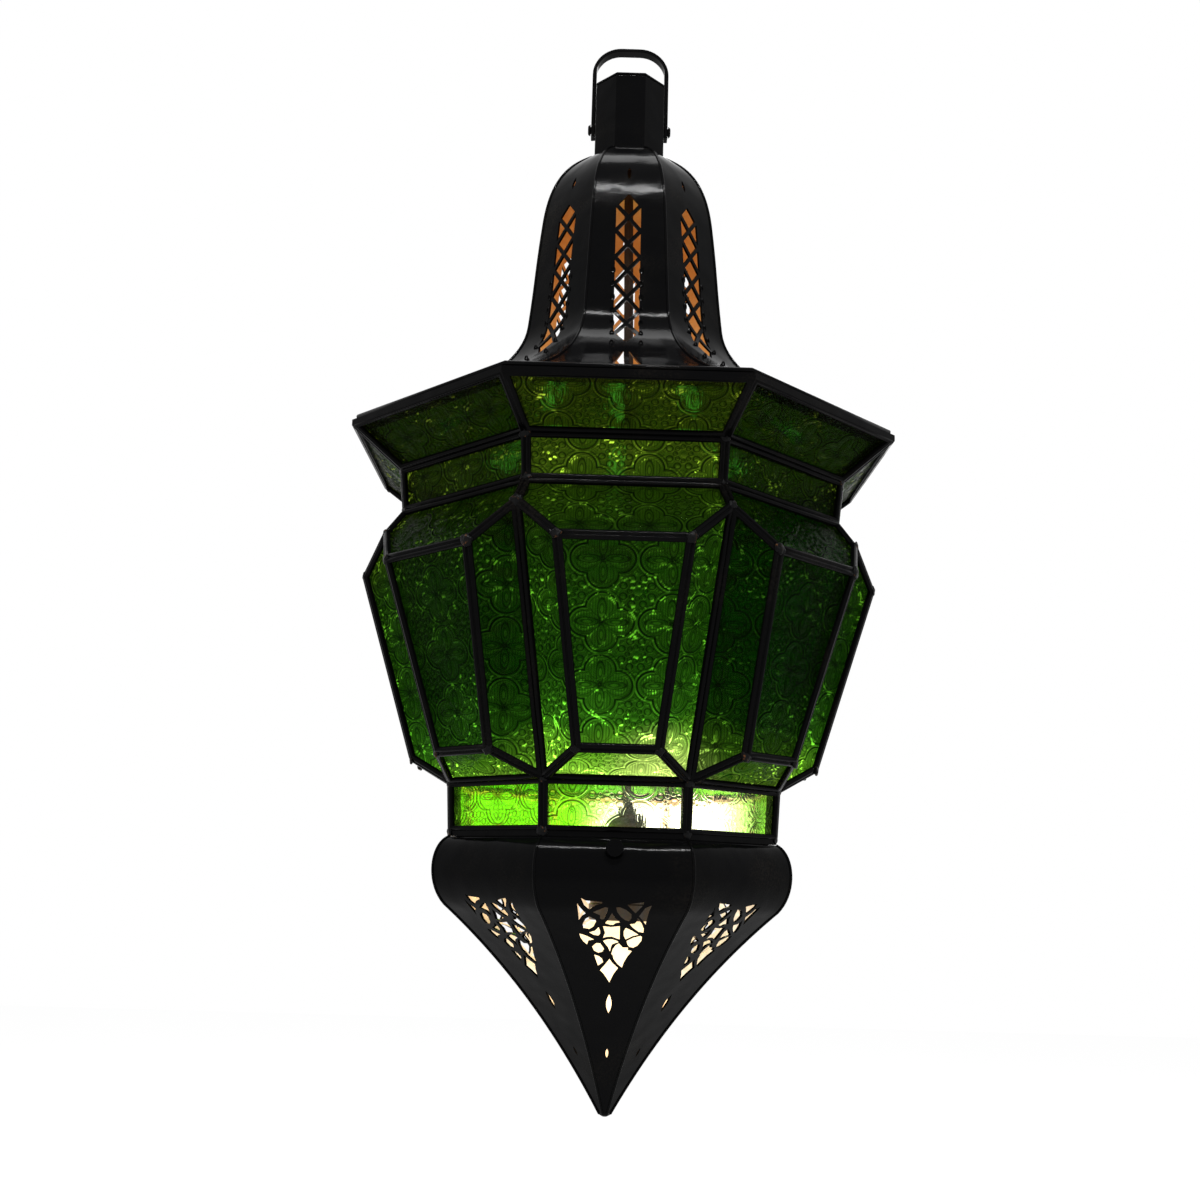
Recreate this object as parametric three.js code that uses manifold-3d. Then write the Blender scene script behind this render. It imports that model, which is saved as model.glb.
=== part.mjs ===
// Eight-sided hanging lantern in painted tin with pressed green glass.
// Millimetres, +Z up. The origin is the point under the hoop where a hook bears,
// and one flat side of the lantern faces -Y.
import * as THREE from 'three';
import { mergeVertices } from 'three/addons/utils/BufferGeometryUtils.js';
import Module from 'manifold-3d';

const wasm = await Module();
wasm.setup();

// Plan of the lantern
const SIDES = 8;
const GAP = 0.3;                  // clearance between pieces that seat on each other

// Hoop and its rivets
const HOOP_RISE = 26;             // from the neck's top up to the hook's seat
const HOOP_WIDTH = 6;
const HOOP_THICKNESS = 2;
const HOOP_CORNER = 15;           // radius of the hoop's two upper bends
const HOOP_SIDE_GAP = 0.5;        // running gap between hoop leg and neck
const HOOP_EAR = 5;               // leg below the pivot
const PIVOT_DROP = 24;            // from the neck's top down to the pivot
const RIVET_RADIUS = 1.9;
const RIVET_HEAD_RADIUS = 3.4;
const RIVET_HEAD = 1.5;
const RIVET_PLAY = 0.1;

// Neck, its cap and the cable gland
const NECK_RADIUS = 21.4;         // to the corners, as all the eight-sided radii here
const NECK_HEIGHT = 46;
const NECK_INSERT = 6;            // how far the neck goes into the roof's throat
const NECK_WALL = 1.5;
const CAP_THICKNESS = 1.5;
const CAP_SPIGOT = 3;
const GLAND_BORE = 3.5;
const GLAND_BARREL = 5;
const GLAND_HEAD_RADIUS = 7.5;
const GLAND_HEAD = 4;
const GLAND_LENGTH = 14;
const NUT_RADIUS = 8;
const NUT_HEIGHT = 4;

// Pierced roof
const ROOF_HEIGHT = 181;          // from the rim's plane up to the throat
const ROOF_WALL = 1.2;
const THROAT_CLEARANCE = 0.4;
const WAIST_RADIUS = 51;
const WAIST_RISE = 130;
const HIP_RADIUS = 57;
const HIP_RISE = 70;
const SHOULDER_PULL = 15;         // how round the shoulder is, out from the throat
const SHOULDER_SAG = 9;
const SHOULDER_LIFT = 30;         // and up from the waist
const WAIST_PULL = 25;            // how straight the flank leaves the waist
const HIP_PULL = 24;              // and how steeply the skirt leaves the hip
const SKIRT_REACH = 55;           // how flat the skirt comes to the eave
const SKIRT_LIFT = 20;
const EAVE_INSET = 3;             // roof edge inside the rim's corner
const EAVE_RISE = 4;
const COLUMN_HALF = 6.7;          // half width of the pierced column in each side
const COLUMN_PITCH = 16;
const COLUMN_TOP_RISE = 124;      // first crossing of the lattice
const COLUMN_CROSSINGS = 5;
const COLUMN_BAR = 2.2;
const LEAF_RISE = 152.5;
const LEAF_HALF_HEIGHT = 4;
const LEAF_HALF_WIDTH = 1.3;
const FOOT_SLOT_TOP_RISE = 38;
const FOOT_SLOT_FOOT_RISE = 18;
const FOOT_SLOT_HALF = 8;

// Crown of flared and upright panes
const RIM_RADIUS = 150;
const RIM_BAR_HEIGHT = 4;
const FLARE_DROP = 20.5;
const BAND_TOP_RADIUS = 123;
const BAND_DROP = 22;
const BAND_FOOT_RADIUS = 120.5;

// Raised faces of the body
const PANEL_TOP_DROP = 31.5;      // from the band's foot down to the raised pane
const PANEL_DROP = 93;
const PANEL_TOP_HALF = 30.5;
const PANEL_TOP_REACH = 132.5;    // axis to the raised pane's top edge
const PANEL_FOOT_HALF = 19;
const PANEL_FOOT_REACH = 104.3;
const BODY_FOOT_DROP = 12.3;
const BODY_FOOT_RADIUS = 89.5;

// Base with its lit strip
const BASE_DROP = 24;
const BASE_FOOT_RADIUS = 88;
const SPIGOT_DROP = 7.5;
const SPIGOT_RADIUS = 84.2;
const SPIGOT_WALL = 1.4;

// Came bars and panes
const BAR_WIDTH = 5;
const BAR_PROUD = 0.5;            // bar outside the skeleton's faces
const BAR_BACK = 5.5;             // bar inside them, seen at the corners
const PANE_FRONT = 1.5;           // pane's front behind the skeleton's faces
const PANE_THICKNESS = 3;
const PANE_SETBACK = 1.3;         // pane's edge from the middle of the bar
const TRAY_DEPTH = 16;            // a pane's recess is open to the inside this far

// Dome that opens for the bulb
const DOME_HEIGHT = 135.5;
const DOME_WALL = 1.2;
const DOME_MOUTH_RADIUS = 88.5;
const DOME_BELLY_RADIUS = 89;
const DOME_BELLY_DROP = 32.6;
const DOME_BULGE = 9;             // how far the curve's handles stand outside the mouth
const DOME_BULGE_SAG = 4;
const DOME_BULGE_LIFT = 10;
const DOME_CONE_PULL = 23;        // how hollow the cone is below the belly
const DOME_CONE_SAG = 19;
const DOME_TIP_PULL = 31;
const DOME_TIP_LIFT = 53;
const DOME_TIP_RADIUS = 3;
const DOME_TIP = 1.5;             // height of the blunt point
const WINDOW_TOP_DROP = 28;
const WINDOW_HALF = 17.4;
const WINDOW_SIDE_DROP = 45;
const WINDOW_SIDE_HALF = 15;
const WINDOW_TIP_DROP = 67;
const RING_RADIUS = 8;
const RING_BAR = 2.4;
const RING_DROP = 37.5;
const RING_SPREAD = 8.2;
const LOWER_RING_DROP = 49;
const SLIT_DROP = 77.5;
const SLIT_HALF_HEIGHT = 4.5;
const SLIT_HALF_WIDTH = 1.7;
const SLIT_LOW_DROP = 102.5;
const SLIT_LOW_HALF_HEIGHT = 2.3;
const MOUTH_RING_RADIUS = 86.8;
const MOUTH_RING_WALL = 1.4;
const MOUTH_RING_HEIGHT = 8;

// Hinge of the dome and its clamping screw
const HINGE_WIDTH = 24;
const HINGE_LEAF = 1.2;
const HINGE_LEAF_HEIGHT = 9;
const KNUCKLE_RADIUS = 2.2;
const KNUCKLE_GAP = 0.4;
const PIN_RADIUS = 1;
const PIN_PLAY = 0.1;
const SCREW_DROP = 4.4;           // screw's axis below the dome's mouth
const SCREW_RADIUS = 2;
const SCREW_PLAY = 0.15;
const SCREW_HEAD_RADIUS = 4.2;
const SCREW_HEAD = 3;
const SCREW_TIP_GAP = 0.5;
const BOSS_RADIUS = 3.6;
const BOSS_OUT = 6;               // boss face outside the mouth's flat

// Lamp inside
const LEAD_RADIUS = 3;
const LEAD_LEAN = 8;              // the lead comes down this far off the axis
const HOLDER_TOP_DROP = 0;        // from the base bar's centre
const HOLDER_ENTRY_RADIUS = 7.8;
const HOLDER_RADIUS = 19;
const HOLDER_SHOULDER = 14;
const HOLDER_HEIGHT = 42;
const HOLDER_SIDES = 16;
const LEAD_ENTRY = 10;
const BULB_CAP_RADIUS = 13;
const BULB_CAP_HEIGHT = 24;
const BULB_NECK_RADIUS = 12.2;
const BULB_RADIUS = 28;
const BULB_CENTRE_DROP = 22;      // from the holder's mouth

// Colours and finishes
const tin = new THREE.MeshStandardMaterial({ color: 0x0b0b0d, roughness: 0.28, metalness: 0.1 });
const glass = new THREE.MeshStandardMaterial({ color: 0x2f8a12, roughness: 0.12, metalness: 0 });
const brass = new THREE.MeshStandardMaterial({ color: 0xb08a3e, roughness: 0.3, metalness: 1 });
const bakelite = new THREE.MeshStandardMaterial({ color: 0x101010, roughness: 0.35, metalness: 0 });
const rubber = new THREE.MeshStandardMaterial({ color: 0x0d0d0d, roughness: 0.6, metalness: 0 });
const lampGlass = new THREE.MeshStandardMaterial({ color: 0xfff3d8, roughness: 0.2, metalness: 0 });

// Levels and angles worked out from the sizes above
const CORNER = Math.PI / SIDES;
const FLAT = Math.cos(CORNER);    // corner radius to flat distance
const UP = new THREE.Vector3(0, 0, 1);
const NECK_TOP = -HOOP_RISE;
const THROAT = NECK_TOP - NECK_HEIGHT;
const RIM = THROAT - ROOF_HEIGHT;
const BAND_TOP = RIM - FLARE_DROP;
const BAND_FOOT = BAND_TOP - BAND_DROP;
const PANEL_TOP = BAND_FOOT - PANEL_TOP_DROP;
const PANEL_FOOT = PANEL_TOP - PANEL_DROP;
const BODY_FOOT = PANEL_FOOT - BODY_FOOT_DROP;
const BASE_FOOT = BODY_FOOT - BASE_DROP;
const BAR_HALF = BAR_WIDTH / 2;
const SEAM = GAP / 2;             // each side's share of the gap between two frames
const DOME_MOUTH = BASE_FOOT - BAR_HALF - GAP;
const HOLDER_TOP = BASE_FOOT - HOLDER_TOP_DROP;

const part = new THREE.Group();

function add(name, geometry, material, turn = 0) {
  const mesh = new THREE.Mesh(geometry, material);
  mesh.name = name;
  mesh.rotation.z = turn;
  part.add(mesh);
}

// Solid modelling helpers

function signedVolume(positions, index) {
  const [a, b, c] = [new THREE.Vector3(), new THREE.Vector3(), new THREE.Vector3()];
  let volume = 0;
  for (let i = 0; i < index.length; i += 3) {
    a.fromArray(positions, 3 * index[i]);
    b.fromArray(positions, 3 * index[i + 1]);
    c.fromArray(positions, 3 * index[i + 2]);
    volume += a.dot(b.cross(c)) / 6;
  }
  return volume;
}

function solid(geometry) {
  const bare = geometry.clone();
  bare.deleteAttribute('normal');
  bare.deleteAttribute('uv');
  const merged = mergeVertices(bare, 1e-4);
  const positions = merged.attributes.position.array;
  const index = [];
  const source = merged.index.array;
  for (let i = 0; i < source.length; i += 3) {
    const [a, b, c] = [source[i], source[i + 1], source[i + 2]];
    if (a !== b && b !== c && c !== a) {
      index.push(a, b, c);
    }
  }
  if (signedVolume(positions, index) < 0) {
    index.reverse();
  }
  return new wasm.Manifold(new wasm.Mesh({
    numProp: 3,
    vertProperties: new Float32Array(positions),
    triVerts: new Uint32Array(index),
  }));
}

function toGeometry(body) {
  const mesh = body.getMesh();
  const geometry = new THREE.BufferGeometry();
  geometry.setAttribute('position', new THREE.BufferAttribute(new Float32Array(mesh.vertProperties), 3));
  geometry.setIndex(new THREE.BufferAttribute(new Uint32Array(mesh.triVerts), 1));
  geometry.computeVertexNormals();
  return geometry;
}

function join(bodies) {
  return bodies.reduce((sum, body) => sum.add(body));
}

function turned(geometry, k) {
  return geometry.clone().rotateZ((k * 2 * Math.PI) / SIDES);
}

function aroundAll(geometry) {
  return Array.from({ length: SIDES }, (_, k) => solid(turned(geometry, k)));
}

// A lathe about +Z. Eight segments give a gored shell with a corner at half a side's angle.
function lathe(points, segments = SIDES) {
  const start = segments === SIDES ? CORNER : 0;
  const profile = points.map(([r, z]) => new THREE.Vector2(r, z));
  return new THREE.LatheGeometry(profile, segments, start).rotateX(Math.PI / 2);
}

function ring(outer, inner, top, foot, segments = SIDES) {
  return lathe([[outer, foot], [outer, top], [inner, top], [inner, foot], [outer, foot]], segments);
}

function alongX(geometry, x, y, z) {
  return geometry.rotateY(Math.PI / 2).translate(x, y, z);
}

function towardsFront(geometry, x, y, z) {
  return geometry.rotateX(Math.PI / 2).translate(x, y, z);
}

function box(x0, x1, y0, y1, z0, z1) {
  return new THREE.BoxGeometry(x1 - x0, y1 - y0, z1 - z0)
    .translate((x0 + x1) / 2, (y0 + y1) / 2, (z0 + z1) / 2);
}

// A bar from a to b, reaching proud outside and back inside the line between them.
function bar(a, b, outward, proud, back, width = BAR_WIDTH, reach = BAR_HALF * 0.8) {
  const along = b.clone().sub(a).normalize();
  const across = along.clone().cross(outward).normalize();
  const out = across.clone().cross(along).normalize();
  const place = new THREE.Matrix4().makeBasis(across, along, out).setPosition(a.clone().add(b).multiplyScalar(0.5));
  return new THREE.BoxGeometry(width, a.distanceTo(b) + 2 * reach, proud + back)
    .translate(0, 0, (proud - back) / 2)
    .applyMatrix4(place);
}

// The point where three planes meet.
function meet(p, q, r) {
  const qr = q.normal.clone().cross(r.normal);
  const rp = r.normal.clone().cross(p.normal);
  const pq = p.normal.clone().cross(q.normal);
  return qr.clone().multiplyScalar(-p.constant)
    .addScaledVector(rp, -q.constant)
    .addScaledVector(pq, -r.constant)
    .divideScalar(p.normal.dot(qr));
}

function planeThrough(a, b, c, towards) {
  const plane = new THREE.Plane().setFromCoplanarPoints(a, b, c);
  if (plane.normal.dot(towards) < 0) {
    plane.negate();
  }
  return plane;
}

function shifted(plane, inward) {
  return new THREE.Plane(plane.normal.clone(), plane.constant + inward);
}

function level(z) {
  return new THREE.Plane(UP.clone(), -z);
}

// The upright plane through a corner, moved into the front side. Side is -1 left, 1 right.
function cornerPlane(side, setback) {
  return new THREE.Plane(new THREE.Vector3(side * FLAT, Math.sin(CORNER), 0), setback);
}

// A closed body between a front and a back skin that share their faces.
function slab(front, back, faces, edge) {
  const points = [...front, ...back];
  const index = [];
  const n = front.length;
  for (const face of faces) {
    for (let i = 1; i < face.length - 1; i += 1) {
      index.push(face[0], face[i], face[i + 1]);
      index.push(n + face[0], n + face[i + 1], n + face[i]);
    }
  }
  for (let i = 0; i < edge.length; i += 1) {
    const [a, b] = [edge[i], edge[(i + 1) % edge.length]];
    index.push(b, a, n + a);
    index.push(b, n + a, n + b);
  }
  const geometry = new THREE.BufferGeometry();
  const positions = points.flatMap((p) => p.toArray());
  geometry.setAttribute('position', new THREE.Float32BufferAttribute(positions, 3));
  geometry.setIndex(index);
  return geometry;
}

// Straight panes of the flare, the band and the base strip

const FRONT = new THREE.Vector3(0, -1, 0);

function corner(radius, z, side) {
  return new THREE.Vector3(side * radius * Math.sin(CORNER), -radius * FLAT, z);
}

// Corners of a flat side run from the top left to the right and round below.
function tierSide([topRadius, topZ], [footRadius, footZ]) {
  return [corner(topRadius, topZ, -1), corner(topRadius, topZ, 1), corner(footRadius, footZ, 1),
    corner(footRadius, footZ, -1)];
}

// What fills a side between two depths, held back from its top, its foot and its corner planes.
function tierSlab(side, depths, setback) {
  const face = planeThrough(side[0], side[1], side[2], FRONT);
  const top = level(side[0].z - setback);
  const foot = level(side[2].z + setback);
  const [left, right] = [cornerPlane(-1, setback), cornerPlane(1, setback)];
  const [front, back] = depths.map((depth) => {
    const skin = shifted(face, depth);
    return [meet(skin, top, left), meet(skin, top, right), meet(skin, foot, right), meet(skin, foot, left)];
  });
  return slab(front, back, [[0, 3, 2, 1]], [0, 3, 2, 1]);
}

const PANE_BACK = PANE_FRONT + PANE_THICKNESS;
const PANE_DEPTHS = [PANE_FRONT, PANE_BACK];
const TRAY_DEPTHS = [PANE_FRONT - GAP, TRAY_DEPTH];
const flareSide = tierSide([RIM_RADIUS, RIM], [BAND_TOP_RADIUS, BAND_TOP]);
const bandSide = tierSide([BAND_TOP_RADIUS, BAND_TOP], [BAND_FOOT_RADIUS, BAND_FOOT]);
const baseSide = tierSide([BODY_FOOT_RADIUS, BODY_FOOT], [BASE_FOOT_RADIUS, BASE_FOOT]);

// A prism through a flat polygon that leaves half a bar along each of its edges.
function window(points) {
  const face = planeThrough(points[0], points[1], points[2], FRONT);
  const edges = points.map((a, i) => {
    const b = points[(i + 1) % points.length];
    const middle = points.reduce((sum, p) => sum.add(p), new THREE.Vector3()).divideScalar(points.length);
    return shifted(planeThrough(a, b, a.clone().add(face.normal), a.clone().sub(middle)), BAR_HALF);
  });
  const skins = [-BAR_WIDTH, PANE_FRONT].map((depth) => {
    const skin = shifted(face, depth);
    return edges.map((edge, i) => meet(skin, edge, edges[(i + 1) % edges.length]));
  });
  const order = points.map((_, i) => i).reverse();
  return slab(skins[0], skins[1], [order], order);
}

// The five planes of a raised face. The upright corner planes close it at the sides.

const panelTop = (side) => new THREE.Vector3(side * PANEL_TOP_HALF, -PANEL_TOP_REACH, PANEL_TOP);
const panelFoot = (side) => new THREE.Vector3(side * PANEL_FOOT_HALF, -PANEL_FOOT_REACH, PANEL_FOOT);
const facePlanes = {
  panel: planeThrough(panelTop(-1), panelTop(1), panelFoot(1), FRONT),
  roof: planeThrough(corner(BAND_FOOT_RADIUS, BAND_FOOT, -1), corner(BAND_FOOT_RADIUS, BAND_FOOT, 1),
    panelTop(1), FRONT),
  left: planeThrough(panelTop(-1), panelFoot(-1), corner(BODY_FOOT_RADIUS, BODY_FOOT, -1), FRONT),
  right: planeThrough(panelTop(1), panelFoot(1), corner(BODY_FOOT_RADIUS, BODY_FOOT, 1), FRONT),
  foot: planeThrough(panelFoot(-1), panelFoot(1), corner(BODY_FOOT_RADIUS, BODY_FOOT, 1), FRONT),
};

// Corners of the face: 0-1 top edge, 2-3 shoulders, 4-5 feet, 6-9 the raised pane.
function faceCorners(depth, setback) {
  const [panel, roof, left, right, foot] = ['panel', 'roof', 'left', 'right', 'foot']
    .map((name) => shifted(facePlanes[name], depth));
  const sideL = cornerPlane(-1, setback);
  const sideR = cornerPlane(1, setback);
  const top = level(BAND_FOOT - setback);
  return [
    meet(roof, top, sideL), meet(roof, top, sideR),
    meet(roof, left, sideL), meet(roof, right, sideR),
    meet(foot, left, sideL), meet(foot, right, sideR),
    meet(panel, roof, left), meet(panel, roof, right),
    meet(panel, foot, left), meet(panel, foot, right),
  ];
}

const FACE_SKIN = [[0, 2, 6, 7, 3, 1], [2, 4, 8, 6], [3, 7, 9, 5], [4, 5, 9, 8], [6, 8, 9, 7]];
const FACE_EDGE = [0, 2, 4, 5, 3, 1];

function faceSlab(depths, setback) {
  const [front, back] = depths.map((depth) => faceCorners(depth, setback));
  return slab(front, back, FACE_SKIN, FACE_EDGE);
}

// Frame of one raised face: half a bar round each of its five panes, and a web behind the outer edge.
function faceFrame() {
  const body = solid(faceSlab([-BAR_PROUD, PANE_BACK], SEAM));
  const recess = solid(faceSlab([PANE_FRONT - GAP, PANE_BACK + 1], PANE_SETBACK - GAP));
  const corners = faceCorners(0, 0);
  const windows = FACE_SKIN.map((face) => solid(window(face.map((i) => corners[i]))));
  const below = box(-RIM_RADIUS, RIM_RADIUS, -RIM_RADIUS, 0, BODY_FOOT - BASE_DROP, BODY_FOOT + SEAM);
  return [recess, ...windows, solid(below)].reduce((frame, cut) => frame.subtract(cut), body);
}

// Hanging hoop with its two rivets

const neckFlat = NECK_RADIUS * FLAT;
const hoopInner = neckFlat + HOOP_SIDE_GAP;
const hoopOuter = hoopInner + HOOP_THICKNESS;
const pivotZ = NECK_TOP - PIVOT_DROP;

function hoop() {
  const outline = new THREE.Shape();
  const low = pivotZ - HOOP_EAR;
  const outerCorner = HOOP_CORNER + HOOP_THICKNESS;
  outline.moveTo(hoopOuter, low);
  outline.lineTo(hoopOuter, -HOOP_CORNER);
  outline.absarc(hoopOuter - outerCorner, -HOOP_CORNER, outerCorner, 0, Math.PI / 2, false);
  outline.absarc(outerCorner - hoopOuter, -HOOP_CORNER, outerCorner, Math.PI / 2, Math.PI, false);
  outline.lineTo(-hoopOuter, low);
  outline.lineTo(-hoopInner, low);
  outline.lineTo(-hoopInner, -HOOP_CORNER);
  outline.absarc(HOOP_CORNER - hoopInner, -HOOP_CORNER, HOOP_CORNER, Math.PI, Math.PI / 2, true);
  outline.absarc(hoopInner - HOOP_CORNER, -HOOP_CORNER, HOOP_CORNER, Math.PI / 2, 0, true);
  outline.lineTo(hoopInner, low);
  outline.closePath();
  const strap = new THREE.ExtrudeGeometry(outline, { depth: HOOP_WIDTH, bevelEnabled: false, curveSegments: 6 });
  towardsFront(strap, 0, HOOP_WIDTH / 2, 0);
  const hole = new THREE.CylinderGeometry(RIVET_RADIUS + RIVET_PLAY, RIVET_RADIUS + RIVET_PLAY, 4 * hoopOuter, 12);
  hole.rotateZ(Math.PI / 2).translate(0, 0, pivotZ);
  return solid(strap).subtract(solid(hole));
}

function rivet(side) {
  const inside = neckFlat - NECK_WALL - GAP;
  const outside = hoopOuter + GAP;
  const body = lathe([
    [0, inside - RIVET_HEAD], [RIVET_HEAD_RADIUS * 0.8, inside - RIVET_HEAD], [RIVET_HEAD_RADIUS, inside],
    [RIVET_RADIUS, inside], [RIVET_RADIUS, outside], [RIVET_HEAD_RADIUS, outside],
    [RIVET_HEAD_RADIUS * 0.7, outside + RIVET_HEAD], [0, outside + RIVET_HEAD],
  ], 12);
  return solid(body.rotateY((side * Math.PI) / 2).translate(0, 0, pivotZ));
}

add('hanging_hoop', toGeometry(hoop()), tin);
add('hoop_rivet_left', toGeometry(rivet(-1)), tin);
add('hoop_rivet_right', toGeometry(rivet(1)), tin);

// Neck, cap, gland and nut

function neck() {
  const tube = solid(ring(NECK_RADIUS, NECK_RADIUS - NECK_WALL, NECK_TOP, THROAT - NECK_INSERT));
  const hole = new THREE.CylinderGeometry(RIVET_RADIUS + RIVET_PLAY, RIVET_RADIUS + RIVET_PLAY, 4 * NECK_RADIUS, 12);
  return tube.subtract(solid(hole.rotateZ(Math.PI / 2).translate(0, 0, pivotZ)));
}

const capFoot = NECK_TOP + GAP;
const capTop = capFoot + CAP_THICKNESS;

function cap() {
  const spigot = NECK_RADIUS - NECK_WALL - GAP;
  const plate = solid(lathe([
    [0, capTop], [NECK_RADIUS, capTop], [NECK_RADIUS, capFoot], [spigot, capFoot],
    [spigot, capFoot - CAP_SPIGOT], [0, capFoot - CAP_SPIGOT],
  ]));
  const bore = GLAND_BARREL + GAP;
  return plate.subtract(solid(ring(bore, 0, capTop + 1, capFoot - CAP_SPIGOT - 1, 16)));
}

function gland() {
  const seat = capTop + GAP;
  return lathe([
    [GLAND_BORE, seat + GLAND_HEAD], [GLAND_HEAD_RADIUS - 1, seat + GLAND_HEAD], [GLAND_HEAD_RADIUS, seat + GLAND_HEAD - 1],
    [GLAND_HEAD_RADIUS, seat], [GLAND_BARREL, seat], [GLAND_BARREL, seat - GLAND_LENGTH],
    [GLAND_BORE, seat - GLAND_LENGTH], [GLAND_BORE, seat + GLAND_HEAD],
  ], 16);
}

const nutTop = capFoot - CAP_SPIGOT - GAP;
const nutBore = GLAND_BARREL + GAP;

function glandNut() {
  const hexagon = new THREE.CylinderGeometry(NUT_RADIUS, NUT_RADIUS, NUT_HEIGHT, 6)
    .rotateX(Math.PI / 2).translate(0, 0, nutTop - NUT_HEIGHT / 2);
  const bore = new THREE.CylinderGeometry(nutBore, nutBore, 2 * NUT_HEIGHT, 16)
    .rotateX(Math.PI / 2).translate(0, 0, nutTop - NUT_HEIGHT / 2);
  return solid(hexagon).subtract(solid(bore));
}

add('neck_tube', toGeometry(neck()), tin);
add('neck_cap', toGeometry(cap()), tin);
add('cable_gland', toGeometry(solid(gland())), brass);
add('gland_nut', toGeometry(glandNut()), brass);

// Pierced bell-shaped roof of eight gores, soldered into one shell

function curvePoints(curve, steps) {
  return curve.getPoints(steps).map((p) => [p.x, p.y]);
}

function bezier(a, b, c, d) {
  const points = [a, b, c, d].map(([x, y]) => new THREE.Vector2(x, y));
  return new THREE.CubicBezierCurve(...points);
}

// A wall of even thickness inside an outline that runs from the top down.
function shell(outline, wall) {
  const inner = outline.map(([r, z], i) => {
    const [r0, z0] = outline[Math.max(i - 1, 0)];
    const [r1, z1] = outline[Math.min(i + 1, outline.length - 1)];
    const length = Math.hypot(r1 - r0, z1 - z0);
    return [r + ((z1 - z0) / length) * wall, z - ((r1 - r0) / length) * wall];
  });
  return [...outline, ...inner.reverse(), outline[0]];
}

function roofOutline() {
  const throat = NECK_RADIUS + THROAT_CLEARANCE + ROOF_WALL;
  const eave = [RIM_RADIUS - EAVE_INSET, RIM + EAVE_RISE];
  const waist = [WAIST_RADIUS, RIM + WAIST_RISE];
  const hip = [HIP_RADIUS, RIM + HIP_RISE];
  const bow = (HIP_RADIUS - WAIST_RADIUS) / 2;
  const shoulder = bezier([throat, THROAT], [throat + SHOULDER_PULL, THROAT - SHOULDER_SAG],
    [WAIST_RADIUS - bow, waist[1] + SHOULDER_LIFT], waist);
  const flank = bezier(waist, [WAIST_RADIUS + bow, waist[1] - WAIST_PULL], [HIP_RADIUS - bow, hip[1] + WAIST_PULL], hip);
  const skirt = bezier(hip, [HIP_RADIUS + bow, hip[1] - HIP_PULL], [RIM_RADIUS - SKIRT_REACH, RIM + SKIRT_LIFT], eave);
  return [
    ...curvePoints(shoulder, 5), ...curvePoints(flank, 2).slice(1), ...curvePoints(skirt, 5).slice(1),
  ];
}

// Openings are cut by prisms that run out to the front from just in front of the axis.
function cutter(points, near, far) {
  const shape = new THREE.Shape(points.map(([x, z]) => new THREE.Vector2(x, z)));
  const prism = new THREE.ExtrudeGeometry(shape, { depth: far - near, bevelEnabled: false });
  return towardsFront(prism, 0, -near, 0);
}

function diamond(x, z, halfWidth, halfHeight) {
  return [[x - halfWidth, z], [x, z - halfHeight], [x + halfWidth, z], [x, z + halfHeight]];
}

function columnOpenings() {
  const slope = Math.atan2(COLUMN_PITCH / 2, COLUMN_HALF);
  const insetZ = COLUMN_BAR / 2 / Math.cos(slope);
  const insetX = COLUMN_BAR / 2 / Math.sin(slope);
  const openings = [];
  const diamondX = COLUMN_HALF - insetX;
  const diamondZ = COLUMN_PITCH / 2 - insetZ;
  for (let k = 0; k <= COLUMN_CROSSINGS; k += 1) {
    const crossing = RIM + COLUMN_TOP_RISE - k * COLUMN_PITCH;
    openings.push(diamond(0, crossing + COLUMN_PITCH / 2, diamondX, diamondZ));
    for (const side of k < COLUMN_CROSSINGS ? [-1, 1] : []) {
      openings.push([
        [side * COLUMN_HALF, crossing - diamondZ], [side * COLUMN_HALF, crossing + diamondZ],
        [side * insetX, crossing],
      ]);
    }
  }
  openings.push(diamond(0, RIM + LEAF_RISE, LEAF_HALF_WIDTH, LEAF_HALF_HEIGHT));
  for (const side of [-1, 1]) {
    openings.push([
      [side * insetX, RIM + FOOT_SLOT_TOP_RISE], [side * insetX, RIM + FOOT_SLOT_FOOT_RISE],
      [side * FOOT_SLOT_HALF, RIM + FOOT_SLOT_FOOT_RISE],
    ]);
  }
  return openings;
}

function roof() {
  const wall = solid(lathe(shell(roofOutline(), ROOF_WALL)));
  const cuts = columnOpenings().map((points) => cutter(points, NECK_RADIUS, RIM_RADIUS));
  return cuts.flatMap((cut) => aroundAll(cut)).reduce((body, cut) => body.subtract(cut), wall);
}

add('pierced_roof', toGeometry(roof()), tin);

// Recesses for the panes of a tier, and the windows in front of them
function tierCuts(side) {
  const recess = tierSlab(side, TRAY_DEPTHS, PANE_SETBACK - GAP);
  return [recess, window(side)].flatMap((cut) => aroundAll(cut));
}

// Crown frame: rim plate, flared tier and upright band in one

function crownFrame() {
  const rimTop = RIM + RIM_BAR_HEIGHT / 2;
  const foot = BAND_FOOT + SEAM;
  const body = solid(lathe([
    [RIM_RADIUS + BAR_PROUD, rimTop], [RIM_RADIUS + BAR_PROUD, RIM - 1],
    [BAND_TOP_RADIUS + BAR_PROUD, BAND_TOP], [BAND_FOOT_RADIUS + BAR_PROUD, foot],
    [BAND_FOOT_RADIUS - BAR_BACK, foot], [BAND_TOP_RADIUS - BAR_BACK, BAND_TOP + BAR_HALF],
    [RIM_RADIUS - 2 * BAR_BACK, RIM - 1], [RIM_RADIUS - 2 * BAR_BACK, rimTop],
    [RIM_RADIUS + BAR_PROUD, rimTop],
  ]));
  return [...tierCuts(flareSide), ...tierCuts(bandSide)].reduce((frame, cut) => frame.subtract(cut), body);
}

add('crown_frame', toGeometry(crownFrame()), tin);

// Base frame: the lit strip's bars and the spigot that the dome's mouth goes round

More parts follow.
